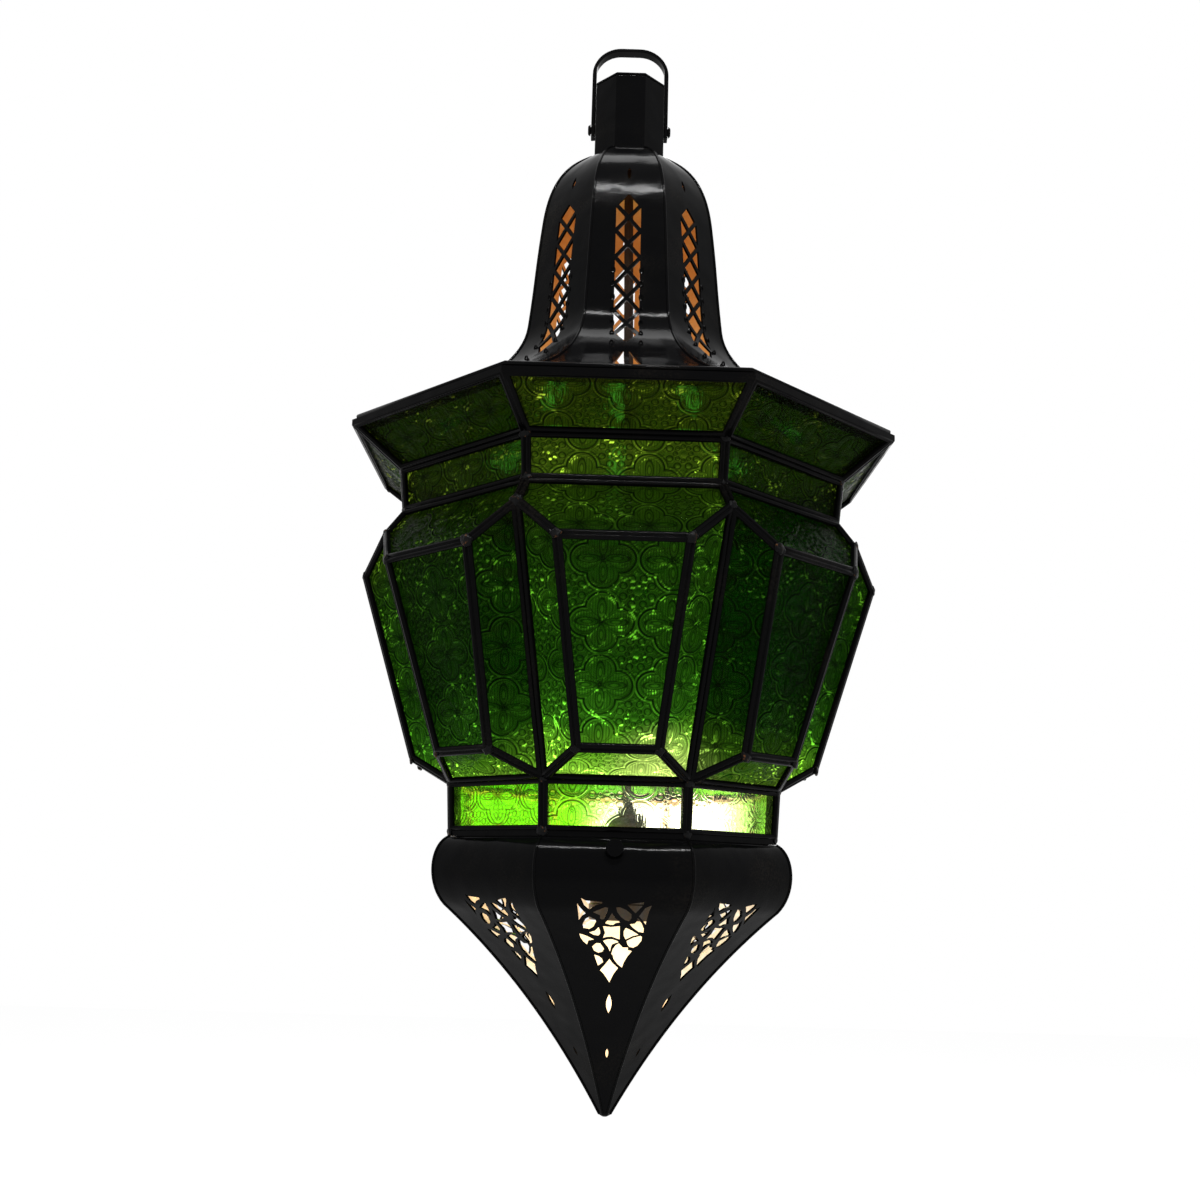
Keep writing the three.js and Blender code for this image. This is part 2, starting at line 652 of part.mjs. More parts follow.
function baseFrame() {
  const top = BODY_FOOT - SEAM;
  const foot = BASE_FOOT - BAR_HALF;
  const inner = SPIGOT_RADIUS - SPIGOT_WALL;
  const body = solid(lathe([
    [BODY_FOOT_RADIUS + BAR_PROUD, top], [BASE_FOOT_RADIUS + BAR_PROUD, foot],
    [SPIGOT_RADIUS, foot], [SPIGOT_RADIUS, foot - SPIGOT_DROP], [inner, foot - SPIGOT_DROP],
    [inner, BASE_FOOT], [BODY_FOOT_RADIUS - BAR_BACK, top], [BODY_FOOT_RADIUS + BAR_PROUD, top],
  ]));
  return tierCuts(baseSide).reduce((frame, cut) => frame.subtract(cut), body);
}

add('base_frame', toGeometry(baseFrame()), tin);

const glassPanes = {
  flare_pane: tierSlab(flareSide, PANE_DEPTHS, PANE_SETBACK),
  band_pane: tierSlab(bandSide, PANE_DEPTHS, PANE_SETBACK),
  face_glass: faceSlab(PANE_DEPTHS, PANE_SETBACK),
  base_pane: tierSlab(baseSide, PANE_DEPTHS, PANE_SETBACK),
};
const frameGeometry = toGeometry(faceFrame());
for (let k = 0; k < SIDES; k += 1) {
  const turn = (k * 2 * Math.PI) / SIDES;
  add(`face_frame_${k + 1}`, frameGeometry, tin, turn);
  for (const [name, geometry] of Object.entries(glassPanes)) {
    add(`${name}_${k + 1}`, toGeometry(solid(geometry)), glass, turn);
  }
}

// Dome with filigree windows, and the ring inside its mouth

function domeOutline() {
  const belly = [DOME_BELLY_RADIUS, DOME_MOUTH - DOME_BELLY_DROP];
  const tip = [DOME_TIP_RADIUS, DOME_MOUTH - DOME_HEIGHT + DOME_TIP];
  const bulge = bezier([DOME_MOUTH_RADIUS, DOME_MOUTH], [DOME_MOUTH_RADIUS + DOME_BULGE, DOME_MOUTH - DOME_BULGE_SAG],
    [DOME_BELLY_RADIUS + DOME_BULGE_LIFT, belly[1] + DOME_BULGE_LIFT], belly);
  const cone = bezier(belly, [DOME_BELLY_RADIUS - DOME_CONE_PULL, belly[1] - DOME_CONE_SAG],
    [DOME_TIP_RADIUS + DOME_TIP_PULL, tip[1] + DOME_TIP_LIFT - DOME_TIP], tip);
  return [...curvePoints(bulge, 6), ...curvePoints(cone, 7).slice(1)];
}

function domeWindow(near, far) {
  const top = DOME_MOUTH - WINDOW_TOP_DROP;
  const outline = cutter([
    [-WINDOW_HALF, top], [-WINDOW_SIDE_HALF, DOME_MOUTH - WINDOW_SIDE_DROP],
    [0, DOME_MOUTH - WINDOW_TIP_DROP], [WINDOW_SIDE_HALF, DOME_MOUTH - WINDOW_SIDE_DROP], [WINDOW_HALF, top],
  ], near, far);
  const rings = [[-RING_SPREAD, RING_DROP], [RING_SPREAD, RING_DROP], [0, LOWER_RING_DROP]];
  return rings.reduce((opening, [x, drop]) => {
    const hoopBar = ring(RING_RADIUS + RING_BAR / 2, RING_RADIUS - RING_BAR / 2, far + 1, near - 1, 8);
    return opening.subtract(solid(towardsFront(hoopBar, x, 0, DOME_MOUTH - drop)));
  }, solid(outline));
}

const screwZ = DOME_MOUTH - SCREW_DROP;
const ringFlat = MOUTH_RING_RADIUS * FLAT;
const bossFace = DOME_MOUTH_RADIUS * FLAT + BOSS_OUT;

function pin(radius, near, far, z, sides = 12) {
  const rod = new THREE.CylinderGeometry(radius, radius, far - near, sides);
  return solid(rod.translate(0, -(near + far) / 2, z));
}

function dome() {
  const outline = domeOutline();
  const wall = shell(outline, DOME_WALL).slice(0, -1);
  const tipZ = DOME_MOUTH - DOME_HEIGHT;
  const count = outline.length;
  const profile = [...wall.slice(0, count), [0, tipZ], [0, wall[count][1] + 3], ...wall.slice(count), wall[0]];
  const near = 2;
  const far = DOME_MOUTH_RADIUS + 10;
  const windowCut = domeWindow(near, far);
  const slits = [[SLIT_DROP, SLIT_HALF_WIDTH, SLIT_HALF_HEIGHT], [SLIT_LOW_DROP, SLIT_HALF_WIDTH / 2, SLIT_LOW_HALF_HEIGHT]]
    .map(([drop, w, h]) => solid(cutter(diamond(0, DOME_MOUTH - drop, w, h), near, far)));
  const openings = join([windowCut, ...slits]);
  let body = solid(lathe(profile)).add(pin(BOSS_RADIUS, ringFlat + DOME_WALL, bossFace, screwZ));
  for (let k = 0; k < SIDES; k += 1) {
    body = body.subtract(openings.rotate([0, 0, (360 * k) / SIDES]));
  }
  return body.subtract(pin(SCREW_RADIUS + SCREW_PLAY, ringFlat - 5, far, screwZ));
}

function mouthRing() {
  const top = DOME_MOUTH - GAP;
  const body = solid(ring(MOUTH_RING_RADIUS, MOUTH_RING_RADIUS - MOUTH_RING_WALL, top, top - MOUTH_RING_HEIGHT));
  return body.subtract(pin(SCREW_RADIUS + SCREW_PLAY, ringFlat - 5, ringFlat + 5, screwZ));
}

function clampScrew() {
  const tip = SPIGOT_RADIUS * FLAT + SCREW_TIP_GAP;
  const seat = bossFace + GAP;
  return pin(SCREW_RADIUS, tip, seat + 1, screwZ).add(pin(SCREW_HEAD_RADIUS, seat, seat + SCREW_HEAD, screwZ, 16));
}

add('dome_shell', toGeometry(dome()), tin);
add('dome_mouth_ring', toGeometry(mouthRing()), tin);
add('clamp_screw', toGeometry(clampScrew()), tin);

// Butt hinge at the back of the dome's mouth

const hingeSeat = (BASE_FOOT_RADIUS + BAR_PROUD) * FLAT + GAP;
const hingeY = hingeSeat + HINGE_LEAF + GAP + KNUCKLE_RADIUS;
const hingeZ = DOME_MOUTH + GAP / 2;
const knuckle = (HINGE_WIDTH - 2 * KNUCKLE_GAP) / 3;

function barrel(x0, x1, radius = KNUCKLE_RADIUS, sides = 12) {
  return solid(alongX(lathe([[0, 0], [radius, 0], [radius, x1 - x0], [0, x1 - x0]], sides), x0, hingeY, hingeZ));
}

function hingeBore() {
  return barrel(-HINGE_WIDTH, HINGE_WIDTH, PIN_RADIUS + PIN_PLAY);
}

function upperLeaf() {
  const half = HINGE_WIDTH / 2;
  const foot = hingeZ + KNUCKLE_GAP;
  const low = new THREE.Vector3(0, BASE_FOOT_RADIUS * FLAT, BASE_FOOT - BAR_HALF);
  const high = new THREE.Vector3(0, BODY_FOOT_RADIUS * FLAT, BODY_FOOT);
  const top = low.clone().lerp(high, HINGE_LEAF_HEIGHT / low.distanceTo(high));
  const outward = new THREE.Vector3(0, high.z - low.z, low.y - high.y);
  const seat = BAR_PROUD + GAP;
  const leaf = bar(low, top, outward, seat + HINGE_LEAF, -seat, HINGE_WIDTH, 0);
  const below = box(-HINGE_WIDTH, HINGE_WIDTH, hingeSeat - HINGE_WIDTH, hingeY + HINGE_WIDTH, foot - HINGE_WIDTH, foot);
  const plate = solid(leaf).subtract(solid(below));
  const lug = solid(box(-half, half, hingeSeat + HINGE_LEAF / 2, hingeY, foot, foot + HINGE_LEAF));
  const middle = solid(box(-knuckle / 2 - KNUCKLE_GAP, knuckle / 2 + KNUCKLE_GAP,
    hingeSeat + HINGE_LEAF, hingeY + HINGE_LEAF_HEIGHT, hingeZ - HINGE_LEAF_HEIGHT, foot + HINGE_LEAF_HEIGHT + 1));
  return join([plate, lug, barrel(-half, half)]).subtract(middle).subtract(hingeBore());
}

function lowerLeaf() {
  const bends = domeOutline().slice(0, 4).map(([r, z]) => new THREE.Vector3(0, r * FLAT, z));
  bends[0].lerp(bends[1], 0.4);
  const strips = [0, 1, 2].map((i) => {
    const [a, b] = [bends[i], bends[i + 1]];
    const outward = new THREE.Vector3(0, a.z - b.z, b.y - a.y);
    return solid(bar(a, b, outward, GAP + HINGE_LEAF, -GAP, HINGE_WIDTH, i * 0.3));
  });
  const notch = KNUCKLE_RADIUS + KNUCKLE_GAP;
  const sides = [box(knuckle / 2, HINGE_WIDTH, hingeY - 9, hingeY + notch, hingeZ - notch, hingeZ + 9),
    box(-HINGE_WIDTH, -knuckle / 2, hingeY - 9, hingeY + notch, hingeZ - notch, hingeZ + 9)];
  const body = join([...strips, barrel(-knuckle / 2, knuckle / 2)]);
  return sides.reduce((leaf, side) => leaf.subtract(solid(side)), body).subtract(hingeBore());
}

function hingePin() {
  const half = HINGE_WIDTH / 2 + GAP;
  return join([
    barrel(-half - 1, half + 1, PIN_RADIUS),
    barrel(-half - 1, -half, PIN_RADIUS + 0.8), barrel(half, half + 1, PIN_RADIUS + 0.8),
  ]);
}

add('hinge_upper_leaf', toGeometry(upperLeaf()), tin);
add('hinge_lower_leaf', toGeometry(lowerLeaf()), tin);
add('hinge_pin', toGeometry(hingePin()), tin);

// Lamp: lead, lampholder, bulb cap and bulb

function lead() {
  const foot = HOLDER_TOP - LEAD_ENTRY + 1;
  const top = nutTop - NUT_HEIGHT;
  const start = capTop + GAP;
  const path = new THREE.CatmullRomCurve3([
    new THREE.Vector3(0, 0, start),
    new THREE.Vector3(0, 0, top - 20),
    new THREE.Vector3(LEAD_LEAN / 2, 0, (top + foot) / 2),
    new THREE.Vector3(LEAD_LEAN, 0, foot + 40),
    new THREE.Vector3(LEAD_LEAN, 0, foot),
  ]);
  const section = new THREE.Shape();
  section.absarc(0, 0, LEAD_RADIUS, 0, 2 * Math.PI, false);
  return new THREE.ExtrudeGeometry(section, { steps: 16, extrudePath: path, curveSegments: 3 });
}

function holder() {
  const top = HOLDER_TOP;
  const foot = top - HOLDER_HEIGHT;
  const socket = BULB_CAP_RADIUS / Math.cos(Math.PI / HOLDER_SIDES) + GAP;
  const socketTop = foot + BULB_CAP_HEIGHT + GAP;
  const entry = LEAD_RADIUS + GAP;
  return lathe([
    [entry, top], [HOLDER_ENTRY_RADIUS, top], [HOLDER_ENTRY_RADIUS, top - 4],
    [HOLDER_RADIUS - 3, top - HOLDER_SHOULDER + 4], [HOLDER_RADIUS, top - HOLDER_SHOULDER],
    [HOLDER_RADIUS, foot], [socket, foot], [socket, socketTop], [entry, socketTop], [entry, top],
  ], HOLDER_SIDES).translate(LEAD_LEAN, 0, 0);
}

const holderFoot = HOLDER_TOP - HOLDER_HEIGHT;

function bulbCap() {
  const top = holderFoot + BULB_CAP_HEIGHT;
  const ridges = [];
  for (let k = 0; k < 3; k += 1) {
    const z = top - 6 - k * 5;
    ridges.push([BULB_CAP_RADIUS - 0.8, z], [BULB_CAP_RADIUS, z - 2]);
  }
  return lathe([[0, top], [5, top], [BULB_CAP_RADIUS - 0.8, top - 4], ...ridges,
    [BULB_CAP_RADIUS - 0.8, holderFoot], [0, holderFoot]], 12).translate(LEAD_LEAN, 0, 0);
}

function bulb() {
  const top = holderFoot - GAP;
  const centre = top - BULB_CENTRE_DROP;
  const start = Math.asin(BULB_NECK_RADIUS / BULB_RADIUS) + 0.25;
  const profile = [[0, top], [BULB_NECK_RADIUS, top]];
  const steps = 7;
  for (let k = 0; k <= steps; k += 1) {
    const angle = start + ((Math.PI - start) * k) / steps;
    profile.push([k === steps ? 0 : BULB_RADIUS * Math.sin(angle), centre + BULB_RADIUS * Math.cos(angle)]);
  }
  return lathe(profile, 16).translate(LEAD_LEAN, 0, 0);
}

add('inner_lead', toGeometry(solid(lead())), rubber);
add('lampholder', toGeometry(solid(holder())), bakelite);
add('bulb_cap', toGeometry(solid(bulbCap())), brass);
add('bulb_glass', toGeometry(solid(bulb())), lampGlass);

export default part;
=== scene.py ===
"""Eight-sided hanging lantern of black painted tin and pressed green glass, lit by its own bulb.

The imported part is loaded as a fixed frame. Sizes are read from it, or are the named sizes of a maker's detail
that sits on it. Sizes of pieces are millimetres; meshes, glows, lamps and the camera are in metres.
"""

import functools
import logging
import math
import random
from dataclasses import dataclass
from enum import Enum

import bmesh
import bpy
import numpy as np
from mathutils import Matrix, Vector

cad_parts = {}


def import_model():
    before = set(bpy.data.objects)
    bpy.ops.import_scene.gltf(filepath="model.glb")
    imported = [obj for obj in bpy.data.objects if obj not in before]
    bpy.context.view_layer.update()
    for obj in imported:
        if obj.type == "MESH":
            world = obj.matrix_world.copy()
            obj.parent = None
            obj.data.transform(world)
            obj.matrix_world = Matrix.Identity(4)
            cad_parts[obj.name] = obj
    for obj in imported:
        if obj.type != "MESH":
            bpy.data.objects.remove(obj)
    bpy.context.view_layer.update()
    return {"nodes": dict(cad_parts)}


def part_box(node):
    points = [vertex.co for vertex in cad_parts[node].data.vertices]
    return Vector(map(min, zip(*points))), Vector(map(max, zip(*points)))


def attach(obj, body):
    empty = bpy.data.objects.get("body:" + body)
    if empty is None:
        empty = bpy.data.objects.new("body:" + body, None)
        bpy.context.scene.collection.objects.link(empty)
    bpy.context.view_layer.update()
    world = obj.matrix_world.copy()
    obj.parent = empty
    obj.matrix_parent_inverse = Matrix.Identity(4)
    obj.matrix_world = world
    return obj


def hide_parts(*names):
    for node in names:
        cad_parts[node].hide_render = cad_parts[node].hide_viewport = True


log = logging.getLogger("lantern")

MM = 0.001
SIDES = 8
SIDE_TURN = 2 * math.pi / SIDES
CORNER = math.pi / SIDES
FLAT = math.cos(CORNER)

Colour = tuple[float, float, float]
Place = tuple[float, float, float]
Point = tuple[float, float]
Lines = tuple[tuple[float, float, float], ...]

LIGHT_CENTRE: Place = (0.010, -0.012, -0.5)
REAR_SIDES = (3, 4, 5)
FACES_AXIS = -0.5


class Slot(Enum):
    """The record's material slots."""

    TIN = "tin"
    GLASS = "green_glass"
    BRASS = "brass"
    BAKELITE = "bakelite"
    RUBBER = "rubber"
    LAMP = "lamp_glass"


class Body(Enum):
    """The bodies that pieces ride on."""

    LANTERN = "lantern"
    HOOP = "hoop"
    DOME = "dome"
    SCREW = "screw"
    BULB = "bulb"


# Shader graphs


class Socket:
    """An output of a shader node that takes part in Python expressions."""

    LINE_CORE = 0.35

    def __init__(self, graph: "Graph", link: bpy.types.NodeSocket) -> None:
        """Keeps the graph and the node's output.

        Args:
            graph: the graph that the node belongs to.
            link: the node's output socket.
        """
        self.graph = graph
        self.link = link

    def maths(self, operation: str, *values: "Socket | float") -> "Socket":
        """Adds one Math node.

        Args:
            operation: the Math node's operation.
            values: its inputs in order.

        Returns:
            The node's output.
        """
        return self.graph.node("ShaderNodeMath", {"operation": operation}, dict(enumerate(values)))

    def __add__(self, other: "Socket | float") -> "Socket":
        """Sum."""
        return self.maths("ADD", self, other)

    __radd__ = __add__

    def __sub__(self, other: "Socket | float") -> "Socket":
        """Difference."""
        return self.maths("SUBTRACT", self, other)

    def __rsub__(self, other: "Socket | float") -> "Socket":
        """Difference with the socket on the right."""
        return self.maths("SUBTRACT", other, self)

    def __mul__(self, other: "Socket | float") -> "Socket":
        """Product."""
        return self.maths("MULTIPLY", self, other)

    __rmul__ = __mul__

    def sine(self) -> "Socket":
        """Sine of an angle in radians."""
        return self.maths("SINE", self)

    def cosine(self) -> "Socket":
        """Cosine of an angle in radians."""
        return self.maths("COSINE", self)

    def size(self) -> "Socket":
        """The value without its sign."""
        return self.maths("ABSOLUTE", self)

    def least(self, other: "Socket") -> "Socket":
        """The smaller of two values."""
        return self.maths("MINIMUM", self, other)

    def most(self, other: "Socket") -> "Socket":
        """The larger of two values."""
        return self.maths("MAXIMUM", self, other)

    def folded(self, half: float) -> "Socket":
        """The value brought between minus half and half by whole turns."""
        return self.maths("WRAP", self, half, -half)

    def line(self, width: float) -> "Socket":
        """1 where the value is zero, falling to 0 at the width on either side."""
        return 1.0 - self.size().step(self.LINE_CORE * width, width)

    def step(self, low: float, high: float) -> "Socket":
        """A smooth step from 0 at low to 1 at high.

        Args:
            low: value that gives 0.
            high: value that gives 1.

        Returns:
            The stepped value.
        """
        inputs = {"Value": self, "From Min": low, "From Max": high}
        return self.graph.node("ShaderNodeMapRange", {"interpolation_type": "SMOOTHSTEP"}, inputs)


class Graph:
    """The node tree of one finish or of the world."""

    def __init__(self, owner: bpy.types.Material | bpy.types.World) -> None:
        """Empties the tree of a new material or world.

        Args:
            owner: the material or world.
        """
        self.owner = owner
        owner.use_nodes = True
        self.tree = owner.node_tree
        self.tree.nodes.clear()

    @classmethod
    def of_finish(cls, name: str) -> "Graph":
        """An empty graph in a new material."""
        return cls(bpy.data.materials.new(name))

    def node(
        self,
        kind: str,
        settings: dict[str, object] | None = None,
        inputs: dict[str | int, object] | None = None,
        output: str | int = 0,
    ) -> Socket:
        """Adds any node.

        Args:
            kind: the node's type.
            settings: its properties, set first; "stops" fills a colour ramp.
            inputs: values or links of its sockets, by name or place.
            output: the output to return.

        Returns:
            The chosen output.
        """
        made = self.tree.nodes.new(kind)
        for key, value in (settings or {}).items():
            if key == "stops":
                self.fill_ramp(made.color_ramp, value)
            else:
                setattr(made, key, value)
        for key, value in (inputs or {}).items():
            socket = made.inputs[key]
            if isinstance(value, Socket):
                self.tree.links.new(value.link, socket)
            elif socket.type == "RGBA":
                socket.default_value = (*value, 1.0)
            else:
                socket.default_value = value
        return Socket(self, made.outputs[output]) if made.outputs else Socket(self, None)

    def outputs(self, kind: str, *names: str | int, source: Socket | None = None) -> list[Socket]:
        """Adds a node with one input at most and returns several of its outputs.

        Args:
            kind: the node's type.
            names: the outputs, by name or place.
            source: what goes in its first input.

        Returns:
            The outputs.
        """
        made = self.node(kind, None, {0: source} if source else None).link.node
        return [Socket(self, made.outputs[name]) for name in names]

    @staticmethod
    def fill_ramp(ramp: bpy.types.ColorRamp, stops: list[tuple[float, Colour]]) -> None:
        """Sets a colour ramp's stops.

        Args:
            ramp: the ramp.
            stops: place and colour of each stop.
        """
        while len(ramp.elements) < len(stops):
            ramp.elements.new(1.0)
        for element, (place, colour) in zip(ramp.elements, stops):
            element.position = place
            element.color = (*colour, 1.0)

    def place(self) -> Socket:
        """The point on the piece, in the lantern's own frame."""
        return self.node("ShaderNodeTexCoord", output="Object")

    def noise(self, scale: float, detail: float = 2.0, vector: Socket | None = None) -> Socket:
        """Cloudy noise on the piece.

        Args:
            scale: features per metre.
            detail: octaves.
            vector: where it is read; the piece's own place when left out.

        Returns:
            Noise from 0 to 1.
        """
        inputs = {"Vector": vector or self.place(), "Scale": scale, "Detail": detail}
        return self.node("ShaderNodeTexNoise", None, inputs, "Fac")

    def mix(self, factor: Socket, first: "Socket | Colour", second: "Socket | Colour") -> Socket:
        """Blends two colours.

        Args:
            factor: 0 gives the first, 1 the second.
            first: colour or link.
            second: colour or link.

        Returns:
            The blended colour.
        """
        return self.node("ShaderNodeMix", {"data_type": "RGBA"}, {0: factor, 6: first, 7: second}, 2)

    def vector(self, operation: str, *values: "Socket | Colour") -> Socket:
        """Adds one Vector Math node with a vector result."""
        return self.node("ShaderNodeVectorMath", {"operation": operation}, dict(enumerate(values)))

    def scaled(self, colour: "Socket | Colour", amount: Socket) -> Socket:
        """A colour times a number.

        Args:
            colour: the colour.
            amount: what it is multiplied by.

        Returns:
            The scaled colour.
        """
        return self.node("ShaderNodeVectorMath", {"operation": "SCALE"}, {0: colour, "Scale": amount})

    def length(self, across: Socket, up: Socket) -> Socket:
        """Length of a step across and up."""
        both = self.node("ShaderNodeCombineXYZ", None, {0: across, 1: up})
        return self.node("ShaderNodeVectorMath", {"operation": "LENGTH"}, {0: both}, "Value")

    def distance(self, centre: Place, start: Socket | None = None) -> Socket:
        """Distance from a point of the lantern to the place on the piece or to another start, in metres."""
        inputs = {0: start or self.place(), 1: centre}
        return self.node("ShaderNodeVectorMath", {"operation": "DISTANCE"}, inputs, "Value")

    def ramp(self, value: Socket, stops: list[tuple[float, Colour]]) -> Socket:
        """Looks a colour up along a ramp.

        Args:
            value: place on the ramp.
            stops: the ramp's stops.

        Returns:
            The colour.
        """
        return self.node("ShaderNodeValToRGB", {"stops": stops}, {"Fac": value})

    def bump(self, height: Socket, distance: float, strength: float = 1.0) -> Socket:
        """A normal roughened by a height.

        Args:
            height: height from 0 to 1.
            distance: metres that a height of 1 stands for.
            strength: how much of it is felt.

        Returns:
            The normal.
        """
        inputs = {"Height": height, "Distance": distance, "Strength": strength}
        return self.node("ShaderNodeBump", None, inputs)

    def surface(self, sockets: dict[str, object]) -> bpy.types.Material:
        """Ends the graph in one Principled shader.

        Args:
            sockets: values and links of the shader's sockets.

        Returns:
            The finished material.
        """
        shader = self.node("ShaderNodeBsdfPrincipled", None, sockets)
        self.node("ShaderNodeOutputMaterial", None, {"Surface": shader})
        return self.owner


# Finishes


@dataclass(frozen=True)
class BlackEnamel:
    """Black gloss paint brushed on tin sheet, a little dusty and rubbed."""

    name: str = "black_enamel"
    paint: Colour = (0.0018, 0.0018, 0.002)
    dust: Colour = (0.007, 0.006, 0.005)
    roughness_low: float = 0.06
    roughness_spread: float = 0.09
    dent_scale: float = 70.0
    dent_depth: float = 0.0007
    grain_scale: float = 900.0
    grain_depth: float = 0.00006
    gloss: float = 0.024

    def material(self) -> bpy.types.Material:
        """Builds the paint.

        Returns:
            The material.
        """
        graph = Graph.of_finish(self.name)
        cloud = graph.noise(28.0, 4.0)
        grain = graph.noise(self.grain_scale, 3.0)
        dents = graph.noise(self.dent_scale, 1.0)
        dusty = cloud.step(0.5, 0.75) * grain.step(0.35, 0.7)
        height = dents * self.dent_depth + grain * self.grain_depth
        return graph.surface(
            {
                "Base Color": graph.mix(dusty, self.paint, self.dust),
                "Roughness": cloud * self.roughness_spread + self.roughness_low,
                "Normal": graph.bump(height, 1.0, 0.6),
                "Specular IOR Level": self.gloss,
            }
        )


@dataclass(frozen=True)
class PaintedGlowTin:
    """The bare inside of a tin sheet, yellowish with brown stains, with the bulb's light painted on it as a
    glow that fades with the distance from the bulb, in metres.
    """

    name: str
    near: Colour
    far: Colour
    reach_near: float
    reach_far: float
    metal: Colour = (0.80, 0.56, 0.24)
    stain: Colour = (0.34, 0.19, 0.07)
    bulb: Place = (0.02, 0.0, -0.515)
    glow_offset: float = 0.3
    stain_glow_share: float = 0.55
    streak_glow_share: float = 0.5

    def material(self) -> bpy.types.Material:
        """Builds the lit metal.

        Returns:
            The material.
        """
        graph = Graph.of_finish(self.name)
        # Painted glow of the bulb's light: the near or the far colour by distance from the bulb, patchy with
        # the stain and streak masks.
        fall = graph.distance(self.bulb).step(self.reach_near, self.reach_far)
        stain = graph.noise(65.0, 4.0).step(0.3, 0.75)
        streak = graph.noise(260.0, 3.0)
        light = graph.mix(fall, self.near, self.far)
        share = stain * self.stain_glow_share + streak * self.streak_glow_share + self.glow_offset
        return graph.surface(
            {
                "Base Color": graph.mix(stain, self.metal, self.stain),
                "Metallic": 0.85,
                "Roughness": streak * 0.3 + 0.25,
                "Normal": graph.bump(streak, 0.0006),
                "Emission Color": graph.scaled(light, share),
                "Emission Strength": 1.0,
            }
        )


def roof_tin() -> PaintedGlowTin:
    """The inside of the roof, far from the bulb, so its painted glow is dim.

    Returns:
        The finish.
    """
    return PaintedGlowTin(
        "lit_roof_inside",
        near=(0.62, 0.26, 0.06),
        far=(0.20, 0.062, 0.012),
        reach_near=0.2,
        reach_far=0.42,
    )


def dome_tin() -> PaintedGlowTin:
    """The inside of the dome and of the base, right beside the bulb, so its painted glow is bright.

    Returns:
        The finish.
    """
    return PaintedGlowTin(
        "lit_dome_inside",
        near=(1.0, 0.90, 0.70),
        far=(1.0, 0.62, 0.26),
        reach_near=0.06,
        reach_far=0.13,
    )


@dataclass(frozen=True)
class Ornament:
    """Sizes of the four-lobed ornament: it is drawn in units, which the roller stretched a little."""

    unit: float = 30.0
    pitch_across: float = 31.5
    pitch_down: float = 28.6
    lobe: float = 7.3
    petal_reach: float = 6.2
    inner_ring: float = 3.5
    beads: int = 8


@dataclass(frozen=True)
class PressedLines(Ornament):
    """The fine lines of the ornament in the glass, drawn from its millimetres across and up: the outlines drawn
    dark as painted shade, with bright painted glints beside them, where the relief bends the light.

    Each line has its distance from a shape's outline, its width and its strength.
    """

    rib_pitch: float = 1.2
    outer_ring: float = 6.6
    wander: float = 1.1
    speckle: float = 4.4
    speckle_strength: float = 0.75

    LOBE_LINES = ((-0.55, 0.62, 1.0), (1.15, 0.45, 0.7), (-2.5, 0.4, 0.5))
    PETAL_LINES = ((1.0, 0.2, 0.8), (0.45, 0.16, 0.6))
    OUTER_LINES = ((1.5, 0.4, 0.9),)
    INNER_LINES = ((1.0, 0.32, 0.8),)
    LOBE_GLINTS = ((0.3, 0.5, 1.0),)
    PETAL_GLINTS = ((0.2, 0.3, 1.0),)
    OUTER_GLINTS = ((0.2, 0.8, 1.0),)

    @staticmethod
    def traced(distance: Socket, lines: Lines) -> Socket:
        """Traces lines beside a shape's outline.

        Args:
            distance: distance from the outline.
            lines: distance, width and strength of each line.

        Returns:
            The strongest line at each place.
        """
        drawn = [(distance - away).line(width) * strength for away, width, strength in lines]
        return functools.reduce(Socket.most, drawn)

    def bead(self, graph: Graph, radius: Socket, angle: Socket, reach: float) -> Socket:
        """Measures how far a place is from the nearest bead in a ring.

        Args:
            graph: the glass's graph.
            radius: distance from the ring's centre.
            angle: direction from it.
            reach: radius of the ring.

        Returns:
            The distance.
        """
        fold = angle.folded(math.pi / self.beads)
        return graph.length(radius * fold.cosine() - reach, radius * fold.sine())

    def draw(self, graph: Graph) -> tuple[Socket, Socket, Socket]:
        """Draws the ornament.

        Args:
            graph: the glass's graph.

        Returns:
            Dark lines of painted shade, bright lines of painted glints, and ribs, each from 0 to 1.
        """
        place = graph.node("ShaderNodeTexCoord", output="UV")
        wander = graph.noise(60.0, 2.0) * self.wander
        across, up = graph.outputs("ShaderNodeSeparateXYZ", 0, 1, source=place)
        a = (across + wander) * (self.unit / self.pitch_across)
        b = (up - wander) * (self.unit / self.pitch_down)
        cu, cv = a.folded(self.unit / 2).size(), b.folded(self.unit / 2).size()
        lobes = graph.length(cu - self.lobe, cv).least(graph.length(cu, cv - self.lobe)) - self.lobe
        tall = graph.length(cu * 0.55, (cv - self.petal_reach) * 0.2)
        wide = graph.length(cv * 0.55, (cu - self.petal_reach) * 0.2)
        petal = tall.least(wide)
        ru, rv = (a + self.unit / 2).folded(self.unit / 2), (b + self.unit / 2).folded(self.unit / 2)
        radius = graph.length(ru, rv)
        angle = graph.node("ShaderNodeMath", {"operation": "ARCTAN2"}, {0: rv, 1: ru})
        outer = self.bead(graph, radius, angle + math.pi / self.beads, self.outer_ring)
        inner = self.bead(graph, radius, angle, self.inner_ring)
        outside = lobes.step(0.9, 1.5)
        inside = 1.0 - lobes.step(-2.6, -1.8)
        speckle = (a * self.speckle).sine() * (b * self.speckle).sine()
        specks = speckle.step(0.35, 0.8) * radius.step(7.5, 8.5) * self.speckle_strength
        rings = self.traced(outer, self.OUTER_LINES).most(self.traced(inner, self.INNER_LINES)).most(specks)
        leaves = self.traced(petal, self.PETAL_LINES)
        dark = self.traced(lobes, self.LOBE_LINES).most(leaves).most(rings * outside)
        beads = self.traced(outer, self.OUTER_GLINTS) * outside
        bright = self.traced(lobes, self.LOBE_GLINTS).most(self.traced(petal, self.PETAL_GLINTS)).most(beads)
        ribs = (a * (2 * math.pi / self.rib_pitch)).sine() * inside * petal.step(1.0, 1.2)
        return dark, bright, ribs


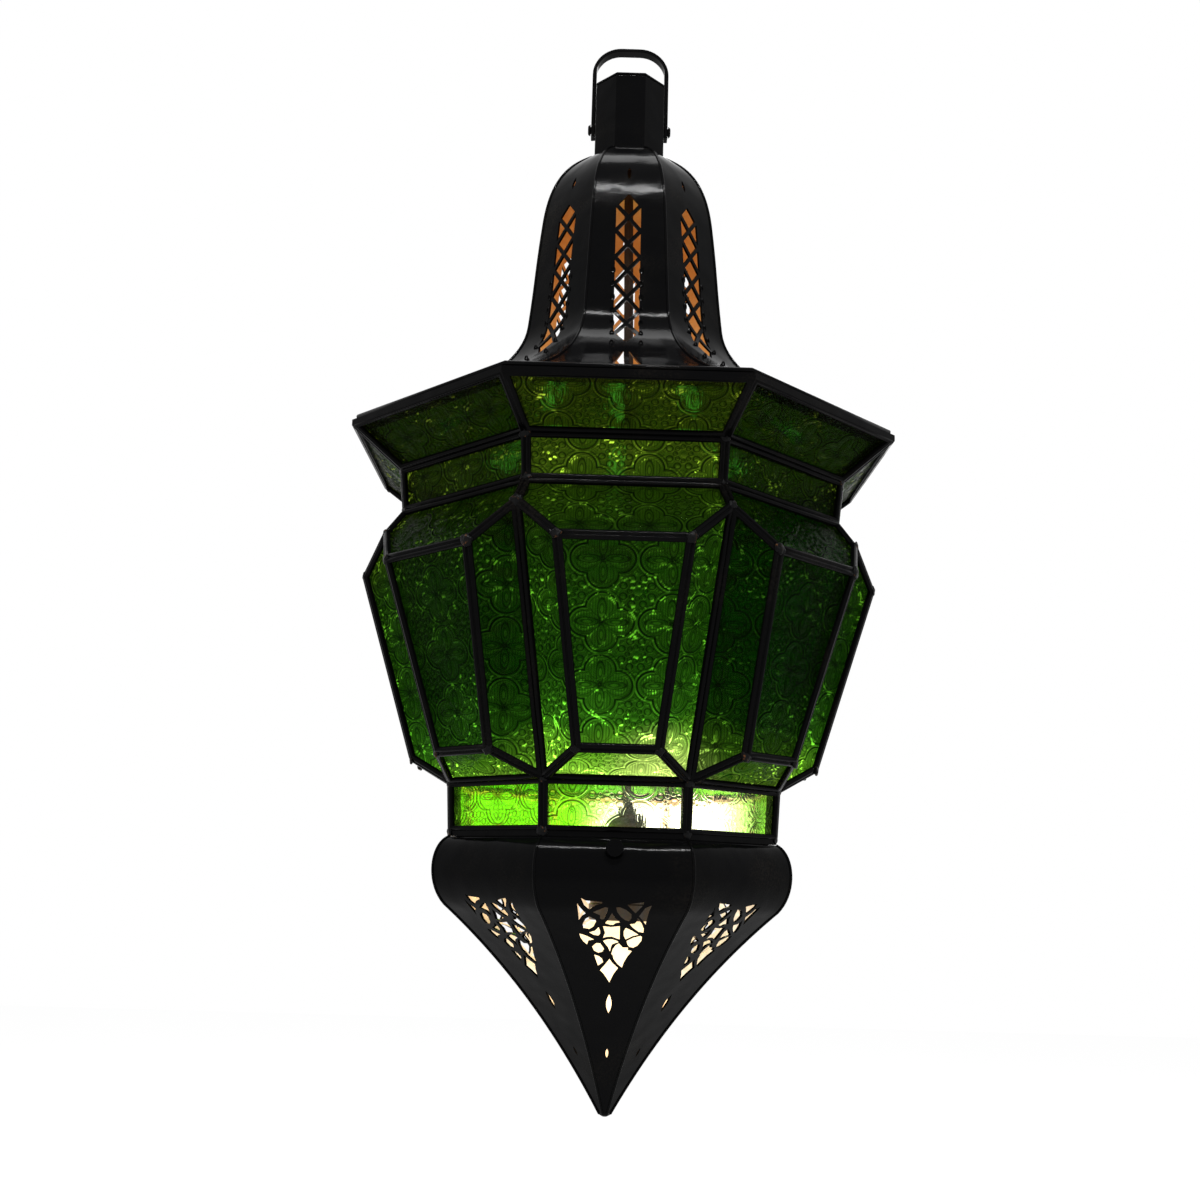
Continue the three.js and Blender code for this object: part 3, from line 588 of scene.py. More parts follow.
@dataclass(frozen=True)
class PressedGlass:
    """Bottle-green pressed glass with the bulb's light painted into it as a glow, brightest beside the bulb,
    with painted glints and a painted glare.
    """

    name: str
    tint: Colour
    painted_glare_tint: Colour
    glow: tuple[tuple[float, Colour], ...]
    painted_glare_glow: Colour
    line_depth: float
    transmission: float = 0.97
    bulb: Place = LIGHT_CENTRE
    reach: float = 0.30
    glare: Place = (0.024, 0.0, -0.4445)
    glare_near: float = 0.014
    glare_far: float = 0.040
    ior: float = 1.045
    brightness: float = 2.1
    cloud_share: float = 1.7
    fine_share: float = 0.5
    glow_offset: float = -0.15
    rib_lift: float = 0.32
    line_lift: float = 0.75
    spark_brightness: float = 24.0
    glare_fade: float = 0.7
    lines: PressedLines = PressedLines()

    def glare_share(self, graph: Graph) -> Socket:
        """How far a place lies in the painted glare, a beam that runs from back to front past the bulb.

        Args:
            graph: the glass's graph.

        Returns:
            1 in the beam, falling to 0 outside it.
        """
        flat = graph.vector("MULTIPLY", graph.place(), (1.0, 0.0, 1.0))
        away = graph.distance(self.glare, flat)
        return 1.0 - away.step(self.glare_near, self.glare_far)

    def material(self) -> bpy.types.Material:
        """Builds the glass.

        Returns:
            The material.
        """
        graph = Graph.of_finish(self.name)
        relief = graph.node("ShaderNodeAttribute", {"attribute_name": "relief"}, output="Color")
        lit, facing, glare_strength = graph.outputs("ShaderNodeSeparateColor", 0, 1, 2, source=relief)
        glow_level = graph.node("ShaderNodeAttribute", {"attribute_name": "glow_level"}, output="Fac")
        dark, bright, ribs = self.lines.draw(graph)
        glare = self.glare_share(graph)
        # Painted glow of the bulb's light in the glass: a ramp by distance from the bulb, times each pane's
        # painted glow level, turning to the painted glare in its beam.
        glow = graph.ramp(graph.distance(self.bulb) * (1.0 / self.reach), list(self.glow))
        glow = graph.mix(glare, graph.scaled(glow, glow_level), graph.scaled(self.painted_glare_glow, glare_strength))
        cloud = graph.noise(38.0, 3.0)
        fine = graph.noise(300.0, 2.0)
        streaks = cloud * self.cloud_share + fine * self.fine_share + self.glow_offset
        # Brightness of the painted glow: the relief's painted shading, cloudy patches, and painted highlights
        # along the ribs and the bright lines.
        body = lit * streaks * (1.0 + ribs * self.rib_lift + bright * self.line_lift)
        # Painted glints where the relief faces the bulb.
        spark = (fine + ribs * 0.08).step(0.56, 0.63) * facing * cloud.step(0.44, 0.58)
        # The ornament's dark lines darken glow and colour as painted shade, less so in the glare.
        clear = 1.0 - dark * (1.0 - glare * self.glare_fade) * self.line_depth
        light = graph.scaled(glow, body * clear * self.brightness + spark * self.spark_brightness)
        # The base colour turns pale in the glare: a painted highlight.
        tint = graph.mix(glare, self.tint, self.painted_glare_tint)
        return graph.surface(
            {
                "Base Color": graph.scaled(tint, clear),
                "Roughness": 0.05,
                "IOR": self.ior,
                "Transmission Weight": self.transmission,
                "Normal": graph.bump(bright - dark + ribs * 0.3, 0.00016, 0.8),
                "Emission Color": light,
                "Emission Strength": 1.0,
            }
        )


def body_glass() -> PressedGlass:
    """The glass of the crown and the body, far from the bulb, so its painted glow is dim.

    Returns:
        The finish.
    """
    glow = (
        (0.28, (0.50, 0.80, 0.10)),
        (0.34, (0.36, 0.70, 0.060)),
        (0.39, (0.15, 0.40, 0.020)),
        (0.44, (0.026, 0.115, 0.005)),
        (0.52, (0.0095, 0.041, 0.0017)),
        (0.70, (0.0095, 0.031, 0.0015)),
        (0.80, (0.019, 0.031, 0.0018)),
        (1.00, (0.010, 0.011, 0.0008)),
    )
    return PressedGlass(
        "pressed_green_glass",
        tint=(0.01, 0.07, 0.004),
        painted_glare_tint=(0.05, 0.2, 0.02),
        glow=glow,
        painted_glare_glow=(0.75, 1.0, 0.22),
        line_depth=0.85,
    )


def strip_glass() -> PressedGlass:
    """The lit copy of the same glass for the strip, which light floods through: a paler tint, a brighter
    painted glow and a painted glare.

    Returns:
        The finish.
    """
    glow = ((0.26, (0.10, 0.20, 0.012)), (0.36, (0.03, 0.11, 0.002)), (0.60, (0.012, 0.08, 0.001)))
    return PressedGlass(
        "lit_strip_glass",
        tint=(0.52, 0.98, 0.11),
        painted_glare_tint=(1.0, 1.0, 0.92),
        glow=glow,
        painted_glare_glow=(0.9, 0.9, 0.6),
        line_depth=0.8,
        glare=(0.031, 0.0, -0.4445),
        glare_near=0.022,
        glare_far=0.056,
    )


@dataclass(frozen=True)
class SolderMetal:
    """Tin solder painted over, with rubbed high spots."""

    name: str = "painted_solder"
    paint: Colour = (0.0022, 0.0022, 0.0024)
    rubbed: Colour = (0.11, 0.045, 0.016)
    gloss: float = 0.06

    def material(self) -> bpy.types.Material:
        """Builds the solder.

        Returns:
            The material.
        """
        graph = Graph.of_finish(self.name)
        rough = graph.noise(500.0, 4.0)
        rubbed = rough.step(0.6, 0.74)
        return graph.surface(
            {
                "Base Color": graph.mix(rubbed, self.paint, self.rubbed),
                "Metallic": rubbed * 0.5,
                "Roughness": rough * 0.3 + 0.18,
                "Specular IOR Level": self.gloss,
                "Normal": graph.bump(rough, 0.0008),
            }
        )


@dataclass(frozen=True)
class OldBrass:
    """Turned brass with brown stains."""

    name: str = "old_brass"
    metal: Colour = (0.56, 0.38, 0.13)
    stain: Colour = (0.19, 0.11, 0.04)

    def material(self) -> bpy.types.Material:
        """Builds the brass.

        Returns:
            The material.
        """
        graph = Graph.of_finish(self.name)
        stain = graph.noise(120.0, 4.0).step(0.4, 0.7)
        line = graph.noise(900.0, 2.0)
        return graph.surface(
            {
                "Base Color": graph.mix(stain, self.metal, self.stain),
                "Metallic": 1.0,
                "Roughness": stain * 0.25 + 0.22,
                "Normal": graph.bump(line, 0.0001),
            }
        )


@dataclass(frozen=True)
class MouldedBlack:
    """A moulded black material: a hard shiny one or a dull soft one."""

    name: str
    base: Colour
    roughness: float
    grain_scale: float
    grain_depth: float = 0.0002
    worn_lift: float = 2.2

    def material(self) -> bpy.types.Material:
        """Builds the moulding.

        Returns:
            The material.
        """
        graph = Graph.of_finish(self.name)
        cloud = graph.noise(60.0, 3.0)
        grain = graph.noise(self.grain_scale, 3.0)
        worn = tuple(self.worn_lift * share for share in self.base)
        return graph.surface(
            {
                "Base Color": graph.mix(cloud.step(0.4, 0.7), self.base, worn),
                "Roughness": cloud * 0.2 + self.roughness,
                "Normal": graph.bump(grain, self.grain_depth),
            }
        )


@dataclass(frozen=True)
class LampGlass:
    """The lit bulb's warm white glass."""

    name: str = "lit_bulb"
    glass: Colour = (0.9, 0.86, 0.75)
    warm: Colour = (1.0, 0.74, 0.40)
    pale: Colour = (1.0, 0.84, 0.56)
    strength: float = 1.25

    def material(self) -> bpy.types.Material:
        """Builds the lit glass.

        Returns:
            The material.
        """
        graph = Graph.of_finish(self.name)
        frost = graph.noise(200.0, 2.0)
        return graph.surface(
            {
                "Base Color": self.glass,
                "Roughness": frost * 0.1 + 0.12,
                "Emission Color": graph.mix(frost, self.warm, self.pale),
                "Emission Strength": self.strength,
            }
        )


# Modelling helpers


class Bench:
    """The maker's moves: picking pieces up, tracing, spinning, cutting and joining."""

    WELD = 0.002 * MM
    SPUN_WELD = 0.005 * MM
    ROUND_STEPS = 2
    ROUND_ANGLE = 28.0

    @staticmethod
    def pick(piece: bpy.types.Object) -> None:
        """Selects one piece and nothing else.

        Args:
            piece: the piece.
        """
        bpy.ops.object.select_all(action="DESELECT")
        piece.select_set(True)
        bpy.context.view_layer.objects.active = piece

    @staticmethod
    def name(piece: bpy.types.Object, name: str) -> bpy.types.Object:
        """Names a piece and its mesh.

        Args:
            piece: the piece.
            name: its name.

        Returns:
            The piece.
        """
        piece.name = name
        piece.data.name = name
        return piece

    @staticmethod
    def from_points(name: str, points: object, faces: object) -> bpy.types.Object:
        """Makes a piece from points and faces.

        Args:
            name: the piece's name.
            points: vertices in metres.
            faces: lists of vertex numbers.

        Returns:
            The new piece, linked in the scene.
        """
        mesh = bpy.data.meshes.new(name)
        mesh.from_pydata(points, [], faces)
        mesh.validate()
        piece = bpy.data.objects.new(name, mesh)
        bpy.context.scene.collection.objects.link(piece)
        return piece

    @classmethod
    def apply_all(cls, piece: bpy.types.Object) -> None:
        """Applies every modifier of a piece in order.

        Args:
            piece: the piece.
        """
        cls.pick(piece)
        for modifier in list(piece.modifiers):
            bpy.ops.object.modifier_apply(modifier=modifier.name)

    @classmethod
    def spun(cls, name: str, profile: list[Point], steps: int) -> bpy.types.Object:
        """Traces a profile with the pen and spins it once round the vertical axis.

        Args:
            name: the piece's name.
            profile: radius and height of each point, in millimetres.
            steps: sides of the result.

        Returns:
            The closed turned piece.
        """
        bpy.ops.object.select_all(action="DESELECT")
        bpy.ops.mesh.primitive_plane_add(size=MM)
        piece = bpy.context.object
        bpy.ops.object.mode_set(mode="EDIT")
        bpy.ops.mesh.select_all(action="SELECT")
        bpy.ops.mesh.merge(type="CENTER")
        path = [Vector((radius * MM, 0.0, height * MM)) for radius, height in profile]
        bpy.ops.transform.translate(value=path[0])
        for start, end in zip(path, path[1:]):
            bpy.ops.mesh.extrude_region_move(TRANSFORM_OT_translate={"value": end - start})
        bpy.ops.mesh.select_all(action="SELECT")
        bpy.ops.mesh.spin(steps=steps, angle=2 * math.pi, center=(0, 0, 0), axis=(0, 0, 1))
        bpy.ops.mesh.select_all(action="SELECT")
        bpy.ops.mesh.remove_doubles(threshold=cls.SPUN_WELD)
        bpy.ops.mesh.normals_make_consistent(inside=False)
        bpy.ops.object.mode_set(mode="OBJECT")
        return cls.name(piece, name)

    @classmethod
    def rod(cls, name: str, path: list[Vector], radius: float, closed: bool = False) -> bpy.types.Object:
        """A round wire along a path.

        Args:
            name: the piece's name.
            path: points in metres.
            radius: wire radius in metres.
            closed: whether the path comes back to its start.

        Returns:
            The wire as a mesh.
        """
        curve = bpy.data.curves.new(name, "CURVE")
        curve.dimensions = "3D"
        curve.bevel_depth = radius
        curve.bevel_resolution = 3
        curve.use_fill_caps = True
        spline = curve.splines.new("POLY")
        spline.points.add(len(path) - 1)
        for point, place in zip(spline.points, path):
            point.co = (*place, 1.0)
        spline.use_cyclic_u = closed
        piece = bpy.data.objects.new(name, curve)
        bpy.context.scene.collection.objects.link(piece)
        cls.pick(piece)
        bpy.ops.object.convert(target="MESH")
        return cls.name(bpy.context.object, name)

    @classmethod
    def bevelled(cls, piece: bpy.types.Object, width: float) -> None:
        """Rounds a piece's sharp edges.

        Args:
            piece: the piece.
            width: bevel width in millimetres.
        """
        bevel = piece.modifiers.new("round", "BEVEL")
        bevel.width = width * MM
        bevel.segments = cls.ROUND_STEPS
        bevel.limit_method = "ANGLE"
        bevel.angle_limit = math.radians(cls.ROUND_ANGLE)
        cls.apply_all(piece)

    @classmethod
    def smooth(cls, piece: bpy.types.Object, angle: float = 40.0) -> None:
        """Shades a piece smooth up to an angle in degrees."""
        cls.pick(piece)
        bpy.ops.object.shade_smooth_by_angle(angle=math.radians(angle))

    @classmethod
    def cut(cls, piece: bpy.types.Object, tool: bpy.types.Object) -> None:
        """Cuts a piece with a tool and throws the tool away.

        Args:
            piece: what is cut.
            tool: the closed shape that is taken out.
        """
        difference = piece.modifiers.new("cut", "BOOLEAN")
        difference.operation = "DIFFERENCE"
        difference.solver = "EXACT"
        difference.object = tool
        cls.apply_all(piece)
        bpy.data.objects.remove(tool)

    @staticmethod
    def prisms(name: str, outlines: list[list[Point]], near: float, far: float) -> bpy.types.Object:
        """Upright prisms that run towards the front, one for each outline.

        Args:
            name: the tool's name.
            outlines: x and z of each outline's points, in millimetres.
            near: distance of the prisms' back from the axis, in millimetres.
            far: distance of their front.

        Returns:
            All the prisms as one piece.
        """
        points = []
        faces = []
        for outline in outlines:
            area = sum(a[0] * b[1] - b[0] * a[1] for a, b in zip(outline, outline[1:] + outline[:1]))
            ordered = outline if area > 0 else outline[::-1]
            first = len(points)
            count = len(ordered)
            points += [(x * MM, -far * MM, z * MM) for x, z in ordered]
            points += [(x * MM, -near * MM, z * MM) for x, z in ordered]
            faces.append([first + i for i in range(count)])
            faces.append([first + count + i for i in reversed(range(count))])
            for i in range(count):
                j = (i + 1) % count
                faces.append([first + j, first + i, first + count + i, first + count + j])
        return Bench.from_points(name, points, faces)

    @classmethod
    def joined(cls, pieces: list[bpy.types.Object], name: str) -> bpy.types.Object:
        """Joins pieces into the first of them.

        Args:
            pieces: the pieces.
            name: the result's name.

        Returns:
            The joined piece.
        """
        cls.pick(pieces[0])
        for piece in pieces[1:]:
            piece.select_set(True)
        if len(pieces) > 1:
            bpy.ops.object.join()
        return cls.name(bpy.context.object, name)

    @staticmethod
    def turned_copy(piece: bpy.types.Object, side: int, name: str) -> bpy.types.Object:
        """Copies a piece to another side of the lantern, with its own mesh.

        Args:
            piece: the piece on the front side.
            side: sides to turn by, counter-clockwise from above.
            name: the copy's name.

        Returns:
            The copy.
        """
        copy = piece.copy()
        copy.data = piece.data.copy()
        copy.data.transform(Matrix.Rotation(side * SIDE_TURN, 4, "Z"))
        bpy.context.scene.collection.objects.link(copy)
        return Bench.name(copy, name)

    @classmethod
    def all_round(cls, front: bpy.types.Object, stem: str) -> list[bpy.types.Object]:
        """Copies a piece to the seven other sides.

        Args:
            front: the piece on the front side, whose name is the stem and _1.
            stem: what the names start with.

        Returns:
            The front piece and its copies, in the order of the sides.
        """
        copies = [cls.turned_copy(front, side, f"{stem}_{side + 1}") for side in range(1, SIDES)]
        return [front, *copies]

    @classmethod
    def softened(cls, node: bpy.types.Object, name: str, width: float) -> bpy.types.Object:
        """A copy of one of the frame's nodes with its edges rounded.

        Args:
            node: the node.
            name: the copy's name.
            width: bevel width in millimetres.

        Returns:
            The rounded copy.
        """
        piece = bpy.data.objects.new(name, node.data.copy())
        piece.data.materials.clear()
        bpy.context.scene.collection.objects.link(piece)
        cls.pick(piece)
        bpy.ops.object.mode_set(mode="EDIT")
        bpy.ops.mesh.select_all(action="SELECT")
        bpy.ops.mesh.remove_doubles(threshold=cls.WELD)
        bpy.ops.mesh.dissolve_limited(angle_limit=math.radians(1.0))
        bpy.ops.object.mode_set(mode="OBJECT")
        cls.bevelled(piece, width)
        cls.smooth(piece)
        flatten = piece.modifiers.new("flat_faces", "WEIGHTED_NORMAL")
        flatten.keep_sharp = True
        cls.apply_all(piece)
        return piece

    @staticmethod
    def fit_out(
        piece: bpy.types.Object,
        finish: bpy.types.Material | list[bpy.types.Material],
        body: Body,
        slot: Slot,
        *nodes: str,
    ) -> bpy.types.Object:
        """Paints a piece, sets it on its body and hides the frame's nodes that it stands for.

        Args:
            piece: the finished piece.
            finish: its material or materials.
            body: the body that it rides on.
            slot: the record's slot that its finish belongs to; not used.
            nodes: the frame's nodes that it replaces.

        Returns:
            The piece.
        """
        finishes = finish if isinstance(finish, list) else [finish]
        while len(piece.data.materials) < len(finishes):
            piece.data.materials.append(None)
        for number, material in enumerate(finishes):
            piece.data.materials[number] = material
        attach(piece, body.value)
        if nodes:
            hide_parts(*nodes)
        return piece


# Camera, lights and stage


@dataclass(frozen=True)
class Viewpoint:
    """Where the camera stands, looking slightly up at the hanging lantern."""

    position: Place = (-0.01263, -0.71619, -0.4772)
    yaw: float = 0.254
    pitch: float = 11.638
    roll: float = 1.589
    lens: float = 40.446

    def place(self) -> bpy.types.Object:
        """Sets up the camera.

        Returns:
            The camera.
        """
        yaw, pitch, roll = (math.radians(a) for a in (self.yaw, self.pitch, self.roll))
        ahead = Vector((math.sin(yaw) * math.cos(pitch), math.cos(yaw) * math.cos(pitch), math.sin(pitch)))
        right = Vector((math.cos(yaw), -math.sin(yaw), 0.0))
        up = right.cross(ahead)
        leaning_right = right * math.cos(roll) + up * math.sin(roll)
        leaning_up = up * math.cos(roll) - right * math.sin(roll)
        bpy.ops.object.select_all(action="DESELECT")
        bpy.ops.object.camera_add()
        camera = bpy.context.object
        camera.name = "camera"
        axes = Matrix((leaning_right, leaning_up, -ahead)).transposed()
        camera.matrix_world = Matrix.Translation(self.position) @ axes.to_4x4()
        camera.data.lens = self.lens
        bpy.context.scene.camera = camera
        return camera


@dataclass(frozen=True)
class SoftBox:
    """One soft lamp that faces a point of the lantern."""

    name: str
    position: Place
    width: float
    height: float
    power: float
    aim: Place = (0.0, 0.0, -0.3)

    def place(self) -> None:
        """Hangs the lamp."""
        bpy.ops.object.light_add(type="AREA", location=self.position)
        lamp = bpy.context.object
        lamp.name = self.name
        lamp.data.shape = "RECTANGLE"
        lamp.data.size = self.width
        lamp.data.size_y = self.height
        lamp.data.energy = self.power
        towards = Vector(self.aim) - Vector(self.position)
        lamp.rotation_euler = towards.to_track_quat("-Z", "Y").to_euler()


@dataclass(frozen=True)
class Studio:
    """A white room: floor well below the lantern, a white surround and soft lamps."""

    floor_level: float = -1.25
    floor_size: float = 14.0
    floor_glow: float = 0.72
    ambient: float = 0.32
    white: Colour = (1.0, 1.0, 1.0)
    cloth: Colour = (0.8, 0.8, 0.8)

    @staticmethod
    def seen_directly(graph: Graph) -> Socket:
        """Tells the rays that look at the surround from those that it lights things with.

        Args:
            graph: the graph that asks.

        Returns:
            1 for camera, glossy and transmitted rays.
        """
        camera, glossy, transmitted = graph.outputs(
            "ShaderNodeLightPath", "Is Camera Ray", "Is Glossy Ray", "Is Transmission Ray"
        )
        return camera.most(glossy).most(transmitted)

    def surround(self) -> None:
        """Whitens the world for what looks at it directly."""
        world = bpy.data.worlds.new("surround")
        bpy.context.scene.world = world
        graph = Graph(world)
        seen = self.seen_directly(graph)
        dim = graph.node("ShaderNodeBackground", None, {"Color": self.white, "Strength": self.ambient})
        full = graph.node("ShaderNodeBackground", None, {"Color": self.white, "Strength": 1.0})
        shader = graph.node("ShaderNodeMixShader", None, {0: seen, 1: dim, 2: full})
        graph.node("ShaderNodeOutputWorld", None, {"Surface": shader})

    def floor(self) -> None:
        """Lays the floor."""
        graph = Graph.of_finish("white_floor")
        seen = self.seen_directly(graph)
        cloth = graph.node("ShaderNodeBsdfDiffuse", None, {"Color": self.cloth})
        light = graph.node("ShaderNodeEmission", None, {"Color": self.white, "Strength": self.floor_glow})
        both = graph.node("ShaderNodeAddShader", None, {0: cloth, 1: light})
        shader = graph.node("ShaderNodeMixShader", None, {0: seen, 1: cloth, 2: both})
        graph.node("ShaderNodeOutputMaterial", None, {"Surface": shader})
        bpy.ops.object.select_all(action="DESELECT")
        bpy.ops.mesh.primitive_plane_add(size=self.floor_size, location=(0.0, 0.0, self.floor_level))
        floor = Bench.name(bpy.context.object, "studio_floor")
        bpy.ops.object.transform_apply(location=True)
        floor.data.materials.append(graph.owner)

    def lamps(self) -> None:
        """Hangs the lamps."""
        SoftBox("window_strip", (0.12, -1.25, 1.35), width=0.9, height=0.024, power=48.0).place()
        SoftBox("overhead", (0.0, -0.05, 1.6), width=0.7, height=0.5, power=12.0).place()
        SoftBox("left_fill", (-1.9, -1.5, 0.1), width=1.2, height=1.6, power=7.0).place()
        SoftBox("right_fill", (2.0, -1.2, -0.2), width=1.0, height=1.4, power=5.0).place()
        SoftBox("back_fill", (0.4, 2.2, 0.6), width=1.4, height=1.4, power=8.0).place()

    def build(self) -> None:
        """Builds the room."""
        self.surround()
        self.floor()
        self.lamps()


# The lantern's skeleton, worked out from the frame


def meet(planes: list[tuple[Vector, float]]) -> Vector:
    """The point that three planes share.

    Args:
        planes: three planes, each a normal and its distance from the origin.

    Returns:
        The point.
    """
    rows = Matrix([normal for normal, _ in planes])
    return rows.inverted() @ Vector([distance for _, distance in planes])


@dataclass
class Facet:
    """A flat part of the front side: its corners run round it, seen from outside."""

    name: str
    corners: list[Vector]
    normal: Vector

    def axes(self) -> tuple[Vector, Vector]:
        """Directions across and up the facet."""
        across = Vector((0.0, 0.0, 1.0)).cross(self.normal).normalized()
        return across, self.normal.cross(across)

    def inset(self, distance: float, rise: float) -> list[Vector]:
        """The facet's outline moved in from its edges and up from its plane.

        Args:
            distance: metres in from every edge.
            rise: metres out along the normal.

        Returns:
            The moved corners.
        """
        count = len(self.corners)
        edges = []
        for i, start in enumerate(self.corners):
            along = (self.corners[(i + 1) % count] - start).normalized()
            inward = self.normal.cross(along)
            edges.append((inward, inward.dot(start) + distance))
        plane = (self.normal, self.normal.dot(self.corners[0]) + rise)
        return [meet([edges[i - 1], edges[i], plane]) for i in range(count)]


class Skeleton:
    """The front side's facets: flare, band, five of the raised face, and the base strip."""

    PANE_FRONT = 1.5
    PANE_SETBACK = 1.3
    FACES_FRONT = -0.2
    FACES_UP = 0.98
    TURNED = 0.1

    def __init__(self, nodes: dict[str, bpy.types.Object]) -> None:
        """Reads the levels and planes.

        Args:
            nodes: the frame's nodes.
        """
        self.nodes = nodes
        setback = self.PANE_SETBACK * MM
        self.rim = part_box("flare_pane_1")[1].z + setback
        self.band_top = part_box("band_pane_1")[1].z + setback
        self.band_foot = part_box("band_pane_1")[0].z - setback
        self.body_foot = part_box("base_pane_1")[1].z + setback
        self.base_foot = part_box("base_pane_1")[0].z - setback
        self.corner_planes = [(Vector((side * FLAT, math.sin(CORNER), 0.0)), 0.0) for side in (-1, 1)]
        self.facets = [
            self.tier("flare", "flare_pane_1", self.rim, self.band_top),
            self.tier("band", "band_pane_1", self.band_top, self.band_foot),
            *self.raised_face(),
            self.tier("base", "base_pane_1", self.body_foot, self.base_foot),
        ]

    def outer_planes(self, node: str) -> list[tuple[Vector, float, Vector]]:
        """The planes of a pane's outer skin, moved out to the skeleton.

        Args:
            node: the pane's node.

        Returns:
            Normal, distance and middle of each.
        """
        shape = bmesh.new()
        shape.from_mesh(self.nodes[node].data)
        bmesh.ops.remove_doubles(shape, verts=shape.verts, dist=Bench.WELD)
        bmesh.ops.dissolve_limit(shape, angle_limit=math.radians(1), verts=shape.verts, edges=shape.edges)
        planes = []
        for face in shape.faces:
            normal = face.normal.copy()
            if normal.y < self.FACES_FRONT and abs(normal.z) < self.FACES_UP:
                middle = face.calc_center_median()
                planes.append((normal, normal.dot(middle) + self.PANE_FRONT * MM, middle))
        shape.free()
        return planes

    def tier(self, name: str, node: str, top: float, foot: float) -> Facet:
        """A straight facet between two levels.

        Args:
            name: the facet's name.
            node: the pane's node.
            top: upper level in metres.
            foot: lower level.

        Returns:
            The facet.
        """
        normal, distance, _ = self.outer_planes(node)[0]
        left, right = self.corner_planes
        up = Vector((0.0, 0.0, 1.0))
        face = (normal, distance)
        corners = [
            meet([face, (up, foot), left]),
            meet([face, (up, foot), right]),
            meet([face, (up, top), right]),
            meet([face, (up, top), left]),
        ]
        return Facet(name, corners, normal)

    def raised_face(self) -> list[Facet]:
        """Works out the raised face from the planes of its glass.

        Returns:
            Its roof, panel, left, right and foot.
        """
        found = self.outer_planes("face_glass_1")
        left = next((n, d) for n, d, _ in found if n.x < -self.TURNED)
        right = next((n, d) for n, d, _ in found if n.x > self.TURNED)
        level_ones = sorted((f for f in found if abs(f[0].x) < self.TURNED), key=lambda f: -f[2].z)
        roof, panel, foot = [(n, d) for n, d, _ in level_ones]
        corner_left, corner_right = self.corner_planes
        top = (Vector((0.0, 0.0, 1.0)), self.band_foot)
        top_left, top_right = meet([roof, top, corner_left]), meet([roof, top, corner_right])
        shoulder_left, shoulder_right = meet([roof, left, corner_left]), meet([roof, right, corner_right])
        foot_left, foot_right = meet([foot, left, corner_left]), meet([foot, right, corner_right])
        panel_tl, panel_tr = meet([panel, roof, left]), meet([panel, roof, right])
        panel_bl, panel_br = meet([panel, foot, left]), meet([panel, foot, right])
        return [
            Facet("roof", [panel_tl, panel_tr, shoulder_right, top_right, top_left, shoulder_left], roof[0]),
            Facet("panel", [panel_bl, panel_br, panel_tr, panel_tl], panel[0]),
            Facet("left", [foot_left, panel_bl, panel_tl, shoulder_left], left[0]),
            Facet("right", [panel_br, foot_right, shoulder_right, panel_tr], right[0]),
            Facet("foot", [foot_left, foot_right, panel_br, panel_bl], foot[0]),
        ]

    def facet(self, name: str) -> Facet:
        """Finds a facet by its name."""
        return next(facet for facet in self.facets if facet.name == name)


# Pressed glass


def ridge(distance: np.ndarray, width: float) -> np.ndarray:
    """A rounded ridge along where a distance is zero."""
    return np.exp(-((distance / width) ** 2))


def dots(
    radius: np.ndarray, angle: np.ndarray, reach: float, size: float, count: int, turn: float
) -> np.ndarray:
    """A ring of round beads.

    Args:
        radius: distance from the ring's centre.
        angle: direction from it.
        reach: radius of the ring.
        size: radius of a bead.
        count: beads in the ring.
        turn: direction of the first.

    Returns:
        1 in the middle of a bead, falling to 0 at its edge.
    """
    sector = 2 * np.pi / count
    fold = np.mod(angle - turn + sector / 2, sector) - sector / 2
    gap = (radius * np.cos(fold) - reach) ** 2 + (radius * np.sin(fold)) ** 2
    return np.clip(1 - gap / size**2, 0, 1)


